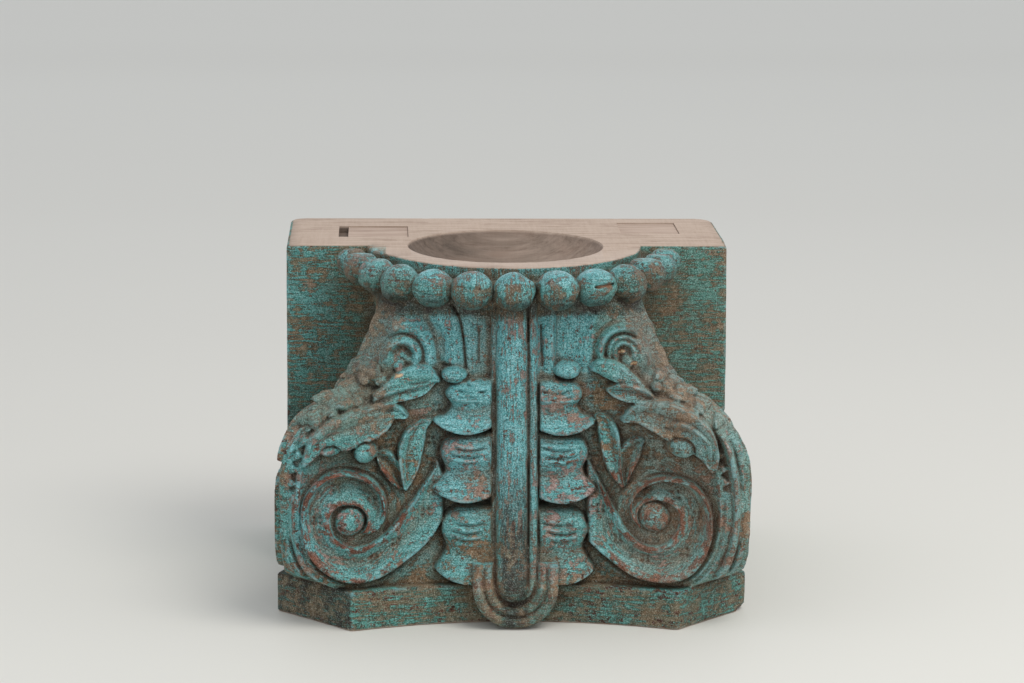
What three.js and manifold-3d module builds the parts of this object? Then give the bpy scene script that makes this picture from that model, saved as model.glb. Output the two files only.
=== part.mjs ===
// Carved wooden capital block, stood upside down: a plain half block at the back, and in front of it the
// front half of a composite column capital. Necking beads and a turned dish are at the top, corner
// scrolls, husks and a central rib are below them, and the concave-sided abacus is at the bottom.
// Millimetres, +X right, +Y back, +Z up; the origin is the centre of the bounding box at the underside.
import * as THREE from 'three';
import { mergeVertices } from 'three/addons/utils/BufferGeometryUtils.js';
import Module from 'manifold-3d';

// ---- driving dimensions ----
const HEIGHT = 250;            // underside to top face
const BACK = 150;              // y of the sawn back face
const AXIS_Y = 21;             // y of the column axis, which is also the block's front plane
const BLOCK_HALF = 166;        // half width of the plain block
const BLOCK_ROUND_L = 9;       // worn vertical corner, back left
const BLOCK_ROUND_R = 14;      // worn vertical corner, back right
const ABACUS_HALF = 171;       // from the axis to the abacus corners' outer faces
const ABACUS_THICK = 28.6;
const ABACUS_CHAMFER = 116;    // where the corner chamfer begins
const ABACUS_HOLLOW = 23;      // depth of the concave side at its middle
const PLATE_R = 97;            // half-round plate over the necking
const PLATE_Z = 238;
const NECK_R = 111;            // core that carries the beads
const BEAD_RING_R = 117.6;
const BEAD_R = 15.4;
const BEAD_SQUASH = 0.92;      // beads are a little lower than they are wide
const BEAD_Z = 236;
const BEAD_ANGLES = [0, 15, 30, 44, 56.5, 69, 80];    // degrees from the middle bead, the same on both sides
const BEAD_SIZE = [1, 1, 1, 1, 0.94, 0.86, 0.78];     // the end ones are smaller
const BEAD_RISE = [0, 0, 0, 0, 2.5, 4, 5];            // and sit higher
const DISH_X = -2.4;           // the turned dish is a little off the axis
const DISH_Y = 17.6;
const DISH_R = 73.5;
const DISH_FLOOR_R = 44;
const DISH_DEPTH = 22;
const RIB_R = 11.5;            // central rib
const RIB_TIP_Z = 19;
const TONGUE_R = 30.5;         // rounded tongue round the rib's end
const TONGUE_X = 0.6;
const TONGUE_TOP_Z = 45;
const TONGUE_SUNK = 11;        // depth of the moulding round the rib's end
const EYE_R = 11;              // knob in the middle of each scroll
const GAP = 0.3;               // joint round each plug
const PLUG_DEPTH = 30;
const MORTISE_L = { x0: -120.5, x1: -74.5, y0: 57, y1: 108 };
const MORTISE_R = { x0: 89, x1: 134, y0: 74, y1: 126 };
const SHALLOW = { x0: -127.5, x1: -119, y0: 57.5, y1: 107.5, deep: 5 };    // open shallow end beside the left plug

// ---- profiles: smooth curves through a few named heights ----
function curve(xs, ys) {
  const n = xs.length;
  const h = [], d = [], m = new Array(n).fill(0);
  for (let i = 0; i < n - 1; i++) { h.push(xs[i + 1] - xs[i]); d.push((ys[i + 1] - ys[i]) / h[i]); }
  m[0] = d[0];
  m[n - 1] = d[n - 2];
  for (let i = 1; i < n - 1; i++) m[i] = d[i - 1] * d[i] > 0 ? 2 * d[i - 1] * d[i] / (d[i - 1] + d[i]) : 0;
  return (x) => {
    const c = Math.min(Math.max(x, xs[0]), xs[n - 1]);
    let i = 0;
    while (i < n - 2 && c > xs[i + 1]) i++;
    const t = (c - xs[i]) / h[i];
    return ys[i] * (2 * t ** 3 - 3 * t ** 2 + 1) + h[i] * m[i] * (t ** 3 - 2 * t ** 2 + t)
      + ys[i + 1] * (-2 * t ** 3 + 3 * t ** 2) + h[i] * m[i + 1] * (t ** 3 - t ** 2);
  };
}
// distance of the corner ridge from the axis along the diagonal: the horn sweeps out and curls under
const cornerOut = curve([28, 36, 44, 58, 100, 123, 136, 146, 157, 166, 180, 200, 226],
  [203, 218, 226, 230, 230.5, 227.5, 224, 216, 199, 181, 160, 141, 122]);
// the flank's end, half width and distance in front of the axis
const flankEnd = curve([28, 120, 136, 146, 157, 166, 180, 200, 226], [153, 153, 151, 145, 134, 121, 106, 93, 80]);
const flankOut = curve([28, 60, 100, 120, 136, 146, 157, 166, 180, 200, 226],
  [171, 171, 171, 170, 167, 161, 149, 136, 121, 107.5, 95]);
// the hollow middle of each face
const middleOut = curve([28, 60, 100, 140, 180, 226], [142, 129, 116, 107, 100.5, 96]);
const faceOut = (u, z) => {
  const t = Math.min(Math.abs(u) / flankEnd(z), 1.3);
  return middleOut(z) + (flankOut(z) - middleOut(z)) * t * t;
};

// a point on a face of the capital: u along the face, h above its surface
const onFront = (u, z, h) => new THREE.Vector3(u, AXIS_Y - faceOut(u, z) - h, z);
const onRight = (u, z, h) => new THREE.Vector3(faceOut(u, z) + h, AXIS_Y - u, z);
const onLeft = (u, z, h) => new THREE.Vector3(-faceOut(u, z) - h, AXIS_Y - u, z);
const mirrored = (place, sign) => (u, z, h) => place(sign * u, z, h);

// ---- solids ----
const wasm = await Module();
wasm.setup();

function solid(geometry) {
  const g = geometry.index ? geometry.clone() : geometry;
  g.deleteAttribute('normal');
  g.deleteAttribute('uv');
  const m = mergeVertices(g, 1e-4);
  return new wasm.Manifold(new wasm.Mesh({
    numProp: 3,
    vertProperties: new Float32Array(m.attributes.position.array),
    triVerts: new Uint32Array(m.index.array),
  }));
}

// closed skin over a stack of rings with the same number of points; flat ends
function loft(rings, flatEnds) {
  const n = rings[0].length;
  const position = [];
  const index = [];
  for (const ring of rings) for (const p of ring) position.push(p.x, p.y, p.z);
  for (let k = 0; k < rings.length - 1; k++) {
    for (let i = 0; i < n; i++) {
      const j = (i + 1) % n;
      const a = k * n + i, b = k * n + j, c = (k + 1) * n + j, d = (k + 1) * n + i;
      index.push(a, b, c, a, c, d);
    }
  }
  const last = (rings.length - 1) * n;
  const fan = (offset, ring, reverse) => {
    let faces = [];
    if (flatEnds) {
      const flat = ring.map((p) => new THREE.Vector2(p.x, p.y));
      faces = THREE.ShapeUtils.triangulateShape(flat, []);
      // the end's triangles turn the same way as its ring
      const turn = faces.reduce((sum, f) => sum + THREE.ShapeUtils.area(f.map((i) => flat[i])), 0);
      if (turn * THREE.ShapeUtils.area(flat) < 0) faces = faces.map((f) => [f[2], f[1], f[0]]);
    } else {
      for (let i = 1; i < n - 1; i++) faces.push([0, i, i + 1]);
    }
    for (const f of faces) {
      const order = reverse ? [f[2], f[1], f[0]] : f;
      index.push(offset + order[0], offset + order[1], offset + order[2]);
    }
  };
  fan(0, rings[0], true);
  fan(last, rings[rings.length - 1], false);
  let volume = 0;
  const at = (i) => new THREE.Vector3(position[3 * i], position[3 * i + 1], position[3 * i + 2]);
  for (let i = 0; i < index.length; i += 3) {
    volume += at(index[i]).dot(at(index[i + 1]).cross(at(index[i + 2]))) / 6;
  }
  if (volume < 0) {
    for (let i = 0; i < index.length; i += 3) [index[i], index[i + 2]] = [index[i + 2], index[i]];
  }
  const g = new THREE.BufferGeometry();
  g.setAttribute('position', new THREE.Float32BufferAttribute(position, 3));
  g.setIndex(index);
  return solid(g);
}

function extruded(shape, height, z, segments = 10) {
  const g = new THREE.ExtrudeGeometry(shape, { depth: height, bevelEnabled: false, curveSegments: segments });
  g.translate(0, 0, z);
  return solid(g);
}

function ball(radius, x, y, z, squash = 1, w = 8, h = 6) {
  const g = new THREE.SphereGeometry(radius, w, h);
  g.rotateX(Math.PI / 2);
  g.scale(1, 1, squash);
  g.translate(x, y, z);
  return solid(g);
}

// ---- plain block, with worn back corners ----
function blockSolid() {
  const s = new THREE.Shape();
  s.moveTo(-BLOCK_HALF, AXIS_Y);
  s.lineTo(BLOCK_HALF, AXIS_Y);
  s.lineTo(BLOCK_HALF, BACK - BLOCK_ROUND_R);
  s.quadraticCurveTo(BLOCK_HALF, BACK, BLOCK_HALF - BLOCK_ROUND_R, BACK);
  s.lineTo(-BLOCK_HALF + BLOCK_ROUND_L, BACK);
  s.quadraticCurveTo(-BLOCK_HALF, BACK, -BLOCK_HALF, BACK - BLOCK_ROUND_L);
  s.closePath();
  return extruded(s, HEIGHT, 0, 4);
}

// ---- abacus: concave front and sides, chamfered corners ----
function abacusSolid() {
  const s = new THREE.Shape();
  const steps = 10;
  const hollow = (t) => ABACUS_HALF - ABACUS_HOLLOW * (1 - (t / ABACUS_CHAMFER) ** 2);
  const points = [];
  for (let i = 0; i <= steps; i++) {                       // right side, from the block forwards
    const q = (ABACUS_CHAMFER * i) / steps;
    points.push([hollow(q), AXIS_Y - q]);
  }
  for (let i = 0; i <= 2 * steps; i++) {                   // front, right to left
    const u = ABACUS_CHAMFER * (1 - i / steps);
    points.push([u, AXIS_Y - hollow(u)]);
  }
  for (let i = steps; i >= 0; i--) {
    const q = (ABACUS_CHAMFER * i) / steps;
    points.push([-hollow(q), AXIS_Y - q]);
  }
  points.push([-140, AXIS_Y + 20], [140, AXIS_Y + 20]);
  s.setFromPoints(points.map(([x, y]) => new THREE.Vector2(x, y)));
  return extruded(s, ABACUS_THICK, 0);
}

// ---- bell: plan section at each height, hollow faces and diagonal corners ----
function bellSolid() {
  const levels = [20, 28, 36, 44, 58, 90, 120, 136, 146, 157, 166, 180, 200, 226];
  const rings = levels.map((z) => {
    const end = flankEnd(z);
    const out = faceOut(end, z);
    const diag = cornerOut(z) * Math.SQRT2;
    const ring = [new THREE.Vector3(-middleOut(z), AXIS_Y + 15, z)];
    const side = 5, front = 7;
    for (let i = 0; i <= side; i++) ring.push(onLeft((end * i) / side, z, 0));
    ring.push(new THREE.Vector3(-diag / 2 - 1, AXIS_Y - diag / 2 - 1, z));
    for (let i = -front; i <= front; i++) ring.push(onFront((end * i) / front, z, 0));
    ring.push(new THREE.Vector3(diag / 2 + 1, AXIS_Y - diag / 2 - 1, z));
    for (let i = side; i >= 0; i--) ring.push(onRight((end * i) / side, z, 0));
    ring.push(new THREE.Vector3(middleOut(z), AXIS_Y + 15, z));
    // the horn curls under towards the abacus, so the corners pull in to the diagonal there
    return ring.map((p) => {
      const reach = Math.abs(p.x) + (AXIS_Y - p.y);
      const over = reach - diag - 2;
      return over > 0 ? new THREE.Vector3(p.x - Math.sign(p.x) * over / 2, p.y + over / 2, p.z) : p;
    });
  });
  return loft(rings, true);
}

// ---- scroll: a band that rolls inwards to the eye, with a raised rim on both edges ----
const scrollRim = curve([-408, -375, -333, -289, -248, -213, -166, -116, -66, -43, -10, 8, 30],
  [13, 21, 26, 31, 37, 38, 36, 41, 45, 48, 62, 68, 74]);
const scrollInner = curve([-408, -330, -250, -207, -150, -90, -50, -20, 5, 30],
  [11.5, 11, 12.5, 15, 15.5, 19, 21.5, 26, 38, 66]);
function scrollSolid(place, eyeU, eyeZ, reach, steps, rimHeight) {
  const rings = [];
  for (let i = 0; i <= steps; i++) {
    const turn = 26 - ((26 + 396) * i) / steps;
    const a = (turn * Math.PI) / 180;
    const limit = turn > -60 ? reach / Math.max(Math.cos(a), 0.05) : 1e9;   // stops beside the husks
    const outer = Math.min(scrollRim(turn), limit);
    const inner = Math.min(scrollInner(turn), outer - 1.5);
    const wide = outer - inner;
    const at = (f, h) => {
      const r = outer - f * wide;
      return place(eyeU - r * Math.cos(a), eyeZ + r * Math.sin(a), h);
    };
    rings.push([
      at(-0.02, -9), at(0, rimHeight * 0.55), at(0.09, rimHeight), at(0.22, rimHeight * 0.62),
      at(0.5, rimHeight * 0.42), at(0.84, rimHeight * 0.9), at(1, rimHeight * 0.6), at(1, -9),
    ]);
  }
  return loft(rings, false);
}

// ---- husk: a bellflower tier with a round shoulder, a neck and a flared lip ----
function huskSolid(place, top, lip, inner, bulge, flare, height, rows = 7, cols = 6) {
  const widthAt = curve([0, 0.08, 0.35, 0.68, 0.9, 1], [bulge - 14, bulge - 6, bulge, bulge - 4, flare, flare + 1]);
  const heightAt = curve([0, 0.1, 0.38, 0.7, 0.92, 1], [height * 0.35, height * 0.75, height, height * 0.62, height, height * 0.9]);
  const rings = [];
  for (let k = 0; k <= rows; k++) {
    const t = k / rows;
    const wide = widthAt(t) - inner;
    const ring = [];
    for (let i = 0; i <= cols; i++) {
      const s = i / cols;
      const u = inner + wide * s;
      const z = top + (lip - top) * t - 8 * t * t * Math.sin(Math.PI * Math.min(1, s * 0.98 + 0.01));
      ring.push(place(u, z, heightAt(t) * Math.sqrt(Math.max(0, 1 - (s * 1.03 - 0.22) ** 2 / 0.68)) - 0.5));
    }
    const zBase = top + (lip - top) * t;
    ring.push(place(inner + wide, zBase, -8), place(inner, zBase, -8));
    rings.push(ring);
  }
  return loft(rings, false);
}

// ---- leaf: lens section along a bent spine ----
function leafSolid(place, spine, width, height, steps = 8) {
  const path = new THREE.CatmullRomCurve3(spine.map(([u, z]) => new THREE.Vector3(u, z, 0)));
  const rings = [];
  for (let k = 0; k <= steps; k++) {
    const t = k / steps;
    const p = path.getPoint(t);
    const d = path.getTangent(t);
    const half = Math.max(0.8, width * 0.5 * Math.sin(Math.PI * (0.06 + 0.88 * t)) ** 0.8);
    const up = height * (0.35 + 0.65 * Math.sin(Math.PI * (0.1 + 0.85 * t)));
    const at = (f, h) => place(p.x - d.y * half * f, p.y + d.x * half * f, h);
    rings.push([at(-1, -6), at(-1, up * 0.5), at(-0.45, up), at(0, up * 0.72), at(0.45, up), at(1, up * 0.5), at(1, -6)]);
  }
  return loft(rings, false);
}

// ---- round bar along a curve ----
function barSolid(points, radius, steps, sides = 8) {
  const section = new THREE.Shape();
  section.absarc(0, 0, radius, 0, Math.PI * 2);
  const g = new THREE.ExtrudeGeometry(section, {
    steps, curveSegments: sides / 2, extrudePath: new THREE.CatmullRomCurve3(points),
  });
  return solid(g);
}

// ---- central rib, its side fillets and the tongue round its end ----
const ribOut = curve([19, 40, 70, 110, 150, 190, 226], [169, 163, 151, 138, 127, 119, 114]);
function ribSolids() {
  const list = [];
  const levels = [232, 200, 160, 120, 90, 60, 40, 30];
  const section = (z, half, out, drop) => {
    const ring = [];
    for (let i = 0; i <= 6; i++) {
      const a = (Math.PI * i) / 6;
      ring.push(new THREE.Vector3(0.6 + half * Math.cos(a), AXIS_Y - out + drop - drop * Math.sin(a), z));
    }
    ring.push(new THREE.Vector3(0.6 - half, AXIS_Y - out + drop + 30, z), new THREE.Vector3(0.6 + half, AXIS_Y - out + drop + 30, z));
    return ring;
  };
  const core = levels.map((z) => section(z, RIB_R, ribOut(z), RIB_R));
  for (const [dz, f] of [[25, 0.86], [21.5, 0.6], [RIB_TIP_Z, 0.25]]) core.push(section(dz, RIB_R * f, ribOut(dz) - (1 - f) * 5, RIB_R * f));
  list.push(loft(core, true));
  const fillet = [...levels.slice(0, 7)].map((z) => section(z, RIB_R + 6, ribOut(z) - 9, 4));
  list.push(loft(fillet, true));
  // tongue: a U-shaped plate under the rib's end, with a sunk moulding round the rib
  const u = new THREE.Shape();
  u.moveTo(-TONGUE_R, TONGUE_TOP_Z);
  u.absarc(0, TONGUE_R, TONGUE_R, Math.PI, 2 * Math.PI);
  u.lineTo(TONGUE_R, TONGUE_TOP_Z);
  u.closePath();
  const plate = new THREE.ExtrudeGeometry(u, { depth: 46, bevelEnabled: false, curveSegments: 7 });
  plate.rotateX(Math.PI / 2);                  // the outline stands upright and faces forwards
  plate.translate(TONGUE_X, AXIS_Y - ABACUS_HALF + 46, 0);
  const cut = new THREE.Shape();
  cut.moveTo(-TONGUE_R + 9, TONGUE_TOP_Z + 4);
  cut.absarc(0, TONGUE_R, TONGUE_R - 9, Math.PI, 2 * Math.PI);
  cut.lineTo(TONGUE_R - 9, TONGUE_TOP_Z + 4);
  cut.closePath();
  const sunk = new THREE.ExtrudeGeometry(cut, { depth: 20, bevelEnabled: false, curveSegments: 6 });
  sunk.rotateX(Math.PI / 2);
  sunk.translate(TONGUE_X, AXIS_Y - ABACUS_HALF + TONGUE_SUNK, 0);
  list.unshift(solid(plate).subtract(solid(sunk)));
  return list;
}

// ---- one face's ornament ----
function flankSolids(place, plain, eyeU, eyeZ) {
  const reach = eyeU - 51;
  const list = [];
  list.push(scrollSolid(place, eyeU, eyeZ, reach, plain ? 15 : 22, plain ? 9 : 11));
  const eye = place(eyeU, eyeZ, 4);
  list.push(ball(EYE_R, eye.x, eye.y, eye.z, 1, 8, 6));
  const s = eyeU / 110;
  // acanthus leaf over the scroll, curled round a ball, and its upper lobe
  list.push(leafSolid(place, [[eyeU + 27, 116], [eyeU + 14, 134], [eyeU - 12, 146], [eyeU - 40, 147]], 22, 15, plain ? 5 : 7));
  const berry = place(eyeU * 0.5 + 56 * s, 126, 8);
  list.push(ball(8.2, berry.x, berry.y, berry.z, 1, 7, 5));
  list.push(leafSolid(place, [[eyeU - 14, 158], [eyeU - 32, 167], [eyeU - 52, 172]], 15, 12, 4));
  if (!plain) {
    // three-lobed leaf between the scroll's stem and the husks
    list.push(leafSolid(place, [[eyeU - 36, 94], [eyeU - 41, 118], [eyeU - 52, 140]], 15, 9, 5));
    // small curl under the necking
    const curl = [];
    for (let i = 0; i <= 10; i++) {
      const a = (-30 + 24 * i) * (Math.PI / 180);
      const r = 15 - 0.5 * i;
      curl.push(place(78 - r * Math.cos(a), 190 + r * Math.sin(a), 1));
    }
    list.push(barSolid(curl, 3.6, 9, 6));
  }
  // husks beside the rib
  for (const [top, lip] of [[172, 142], [133, 94], [79, 40]]) {
    list.push(huskSolid(place, top, lip, 10, top > 150 ? 48 : 53, 57, 19, plain ? 5 : 6, plain ? 4 : 5));
  }
  // small curl above the top husk, and the stem up to the necking
  const small = place(42, 176, 4);
  if (!plain) {
    list.push(ball(8.5, small.x, small.y, small.z, 1, 7, 5));
    list.push(leafSolid(place, [[30, 160], [29, 190], [33, 226]], 27, 8, 4));
  }
  return list;
}

// the triangles of the outer skin, without any small hollow sealed in between the joined ornaments
function outerSkin(position, index) {
  const parent = [];
  const key = new Map();
  const id = [];
  for (let i = 0; i < position.length / 3; i++) {
    const k = [0, 1, 2].map((c) => position[3 * i + c].toFixed(4)).join();
    if (!key.has(k)) { key.set(k, parent.length); parent.push(parent.length); }
    id.push(key.get(k));
  }
  const root = (i) => { while (parent[i] !== i) { parent[i] = parent[parent[i]]; i = parent[i]; } return i; };
  for (let i = 0; i < index.length; i += 3) {
    const r = root(id[index[i]]);
    parent[root(id[index[i + 1]])] = r;
    parent[root(id[index[i + 2]])] = r;
  }
  const size = new Map();
  for (const i of index) size.set(root(id[i]), (size.get(root(id[i])) || 0) + 1);
  const largest = [...size.entries()].sort((a, b) => b[1] - a[1])[0][0];
  const kept = [];
  for (let i = 0; i < index.length; i += 3) {
    if (root(id[index[i]]) === largest) kept.push(index[i], index[i + 1], index[i + 2]);
  }
  return kept;
}

// ---- the carved piece ----
function carvedGeometry() {
  let body = blockSolid().add(abacusSolid()).add(bellSolid());
  const neck = new THREE.CylinderGeometry(NECK_R, NECK_R - 6, 241 - 220, 30);
  neck.rotateX(Math.PI / 2);
  neck.translate(0, AXIS_Y, (241 + 220) / 2);
  body = body.add(solid(neck));
  const plate = new THREE.CylinderGeometry(PLATE_R, PLATE_R, HEIGHT - PLATE_Z + 4, 40);
  plate.rotateX(Math.PI / 2);
  plate.translate(0, AXIS_Y, HEIGHT - (HEIGHT - PLATE_Z + 4) / 2);
  body = body.add(solid(plate));
  BEAD_ANGLES.forEach((angle, i) => {
    for (const side of i ? [-1, 1] : [1]) {
      const a = (side * angle * Math.PI) / 180;
      body = body.add(ball(BEAD_R * BEAD_SIZE[i], BEAD_RING_R * Math.sin(a), AXIS_Y - BEAD_RING_R * Math.cos(a), BEAD_Z + BEAD_RISE[i], BEAD_SQUASH, 8, 6));
    }
  });
  for (const s of ribSolids()) body = body.add(s);
  for (const s of flankSolids(mirrored(onFront, -1), false, 117, 77)) body = body.add(s);
  for (const s of flankSolids(mirrored(onFront, 1), false, 103, 79)) body = body.add(s);
  for (const s of flankSolids(onRight, true, 110, 78)) body = body.add(s);
  for (const s of flankSolids(onLeft, true, 110, 78)) body = body.add(s);

  // nothing stands outside the sawn outline of the log
  const trim = new THREE.BoxGeometry(2 * ABACUS_HALF, ABACUS_HALF + BACK - AXIS_Y, HEIGHT);
  trim.translate(0, (BACK + AXIS_Y - ABACUS_HALF) / 2, HEIGHT / 2);
  body = body.intersect(solid(trim));

  // turned dish
  const dish = new THREE.LatheGeometry([
    [0, HEIGHT - DISH_DEPTH], [DISH_FLOOR_R, HEIGHT - DISH_DEPTH], [DISH_FLOOR_R + 14, HEIGHT - DISH_DEPTH + 3.5],
    [DISH_R - 6, HEIGHT - 11], [DISH_R - 1.5, HEIGHT - 4], [DISH_R, HEIGHT], [DISH_R, HEIGHT + 3], [0, HEIGHT + 3],
  ].map(([r, z]) => new THREE.Vector2(r, z)), 40);
  dish.rotateX(Math.PI / 2);
  dish.translate(DISH_X, DISH_Y, 0);
  body = body.subtract(solid(dish));

  // mortises for the two plugs
  for (const m of [MORTISE_L, MORTISE_R]) {
    const pocket = new THREE.BoxGeometry(m.x1 - m.x0, m.y1 - m.y0, PLUG_DEPTH + 3);
    pocket.translate((m.x0 + m.x1) / 2, (m.y0 + m.y1) / 2, HEIGHT - PLUG_DEPTH + (PLUG_DEPTH + 3) / 2);
    body = body.subtract(solid(pocket));
  }
  const open = new THREE.BoxGeometry(SHALLOW.x1 - SHALLOW.x0, SHALLOW.y1 - SHALLOW.y0, SHALLOW.deep + 3);
  open.translate((SHALLOW.x0 + SHALLOW.x1) / 2, (SHALLOW.y0 + SHALLOW.y1) / 2, HEIGHT - SHALLOW.deep + (SHALLOW.deep + 3) / 2);
  body = body.subtract(solid(open));
  const out = body.getMesh();
  const g = new THREE.BufferGeometry();
  const n = out.numProp;
  const count = out.vertProperties.length / n;
  const position = new Float32Array(count * 3);
  for (let i = 0; i < count; i++) for (let c = 0; c < 3; c++) position[3 * i + c] = out.vertProperties[n * i + c];
  g.setAttribute('position', new THREE.BufferAttribute(position, 3));
  g.setIndex(outerSkin(position, Array.from(out.triVerts)));
  g.computeVertexNormals();
  return g;
}

function plugGeometry(m) {
  const wide = m.x1 - m.x0 - 2 * GAP;
  const deep = m.y1 - m.y0 - 2 * GAP;
  const tall = PLUG_DEPTH - GAP - 1;            // its top is 1 mm under the block's
  const g = new THREE.BoxGeometry(wide, deep, tall);
  g.translate((m.x0 + m.x1) / 2, (m.y0 + m.y1) / 2, HEIGHT - 1 - tall / 2);
  return g;
}

const paintedWood = new THREE.MeshStandardMaterial({ name: 'painted_wood', color: 0x4f8a86, roughness: 0.62, metalness: 0 });
const plugWood = new THREE.MeshStandardMaterial({ name: 'plug_wood', color: 0xb39a88, roughness: 0.8, metalness: 0 });

const group = new THREE.Group();
const block = new THREE.Mesh(carvedGeometry(), paintedWood);
block.name = 'capital_block';
const plugLeft = new THREE.Mesh(plugGeometry(MORTISE_L), plugWood);
plugLeft.name = 'plug_left';
const plugRight = new THREE.Mesh(plugGeometry(MORTISE_R), plugWood);
plugRight.name = 'plug_right';
group.add(block, plugLeft, plugRight);

export default group;
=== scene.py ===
import math

import bpy
import numpy as np
from mathutils import Matrix, Vector


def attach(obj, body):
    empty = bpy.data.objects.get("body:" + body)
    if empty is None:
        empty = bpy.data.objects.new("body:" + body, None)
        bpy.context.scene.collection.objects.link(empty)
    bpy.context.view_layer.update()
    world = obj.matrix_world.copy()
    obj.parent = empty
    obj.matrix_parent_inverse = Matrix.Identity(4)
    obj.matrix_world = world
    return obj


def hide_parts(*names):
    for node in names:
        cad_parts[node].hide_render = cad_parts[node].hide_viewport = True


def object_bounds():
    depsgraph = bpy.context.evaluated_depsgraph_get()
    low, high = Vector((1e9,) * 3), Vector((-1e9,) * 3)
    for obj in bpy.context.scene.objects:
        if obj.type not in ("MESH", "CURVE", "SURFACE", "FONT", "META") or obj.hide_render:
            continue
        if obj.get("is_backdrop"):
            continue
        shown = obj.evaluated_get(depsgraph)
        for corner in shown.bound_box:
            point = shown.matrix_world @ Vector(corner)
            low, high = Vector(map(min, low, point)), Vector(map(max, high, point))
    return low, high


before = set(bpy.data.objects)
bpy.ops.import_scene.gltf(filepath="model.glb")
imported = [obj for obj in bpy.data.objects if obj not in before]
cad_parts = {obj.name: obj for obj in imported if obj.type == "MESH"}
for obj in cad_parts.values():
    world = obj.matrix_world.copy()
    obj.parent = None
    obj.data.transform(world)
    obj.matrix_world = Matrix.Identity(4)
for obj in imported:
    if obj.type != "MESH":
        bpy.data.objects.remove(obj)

SIZE = {"cad": [list(map(float, c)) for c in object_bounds()]}

import numpy as np

# ------------------------------------------------------------------ shape of the carved piece, in mm
# x right, y back, z up; q = AXIS_Y - y is the distance in front of the column's axis
HEIGHT, BACK, AXIS_Y, HALF = 250.0, 150.0, 21.0, 166.0
EDGE = 171.0                      # from the axis to the abacus corners' outer faces
ABACUS_Z, ABACUS_FLAT, ABACUS_HOLLOW = 28.6, 116.0, 23.0
PLATE_R, NECK_R, RING_R, BEAD_R, BEAD_Z = 97.5, 110.5, 117.6, 15.6, 236.0
DISH = (-2.4, 17.6, 73.5)
FINE = 0.425                      # step of the relief maps
STEP = 0.85                       # step of the solid's grid where it is carved


def pchip(xs, ys):
    """Smooth curve through a few named values, without overshoot."""
    xs = np.array(xs, float)
    ys = np.array(ys, float)
    h = np.diff(xs)
    d = np.diff(ys) / h
    m = np.zeros_like(xs)
    m[1:-1] = np.where(d[:-1] * d[1:] > 0, 2 * d[:-1] * d[1:] / np.where(d[:-1] + d[1:] == 0, 1, d[:-1] + d[1:]), 0)
    m[0], m[-1] = d[0], d[-1]

    def f(x):
        x = np.clip(np.asarray(x, float), xs[0], xs[-1])
        i = np.clip(np.searchsorted(xs, x) - 1, 0, len(xs) - 2)
        t = (x - xs[i]) / h[i]
        return (ys[i] * (2 * t**3 - 3 * t**2 + 1) + h[i] * m[i] * (t**3 - 2 * t**2 + t)
                + ys[i + 1] * (-2 * t**3 + 3 * t**2) + h[i] * m[i + 1] * (t**3 - t**2))
    return f


corner_out = pchip([28, 36, 44, 58, 100, 123, 136, 146, 152, 157, 162, 166, 172, 180, 190, 200, 210, 226],
                   [203, 217, 225, 229.5, 230.5, 227.5, 224, 216, 208, 199, 188, 181, 171.5, 160, 149.5, 141, 135, 122])
flank_end = pchip([28, 120, 136, 146, 157, 166, 180, 200, 226], [153, 153, 151, 145, 134, 121, 106, 93, 80])
flank_out = pchip([28, 60, 100, 120, 136, 146, 157, 166, 180, 200, 226],
                  [165, 165, 165, 165, 163, 158, 147.5, 135.5, 121, 107.5, 95])
middle_out = pchip([28, 60, 100, 140, 180, 226], [142, 129, 116, 107, 100.5, 96])
rib_out = pchip([18, 40, 70, 110, 150, 190, 226], [169, 163, 151, 138, 127.5, 120, 115])


def face_out(u, z):
    t = np.minimum(np.abs(u) / flank_end(z), 1.3)
    return middle_out(z) + (flank_out(z) - middle_out(z)) * t * t


def ease(t):
    t = np.clip(t, 0.0, 1.0)
    return t * t * (3 - 2 * t)


def blur(a, s):
    """Gaussian blur of a map, s in cells."""
    r = max(1, int(np.ceil(2.6 * s)))
    k = np.exp(-0.5 * (np.arange(-r, r + 1) / s) ** 2)
    k /= k.sum()
    out = a
    for axis in (0, 1):
        pad = [(r, r) if ax == axis else (0, 0) for ax in (0, 1)]
        p = np.pad(out, pad, mode="edge")
        n = out.shape[axis]
        acc = 0
        for i, w in enumerate(k):
            acc = acc + w * (p[i:i + n] if axis == 0 else p[:, i:i + n])
        out = acc
    return out


def lattice_noise(shape, cell, rng, octaves=1):
    """Smooth noise from -1 to 1 on a map, cell in map steps along each axis."""
    out = np.zeros(shape)
    amp, total = 1.0, 0.0
    cx, cz = cell
    for _ in range(octaves):
        gx = max(2, int(shape[0] / cx) + 3)
        gz = max(2, int(shape[1] / cz) + 3)
        g = rng.uniform(-1, 1, (gx, gz))
        x = np.arange(shape[0]) / cx
        z = np.arange(shape[1]) / cz
        i, k = np.minimum(x.astype(int), gx - 2), np.minimum(z.astype(int), gz - 2)
        fx, fz = ease(x - i)[:, None], ease(z - k)[None, :]
        out += amp * ((g[np.ix_(i, k)] * (1 - fx) + g[np.ix_(i + 1, k)] * fx) * (1 - fz)
                      + (g[np.ix_(i, k + 1)] * (1 - fx) + g[np.ix_(i + 1, k + 1)] * fx) * fz)
        total += amp
        amp *= 0.5
        cx, cz = max(cx / 2, 1.0), max(cz / 2, 1.0)
    return out / total


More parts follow.
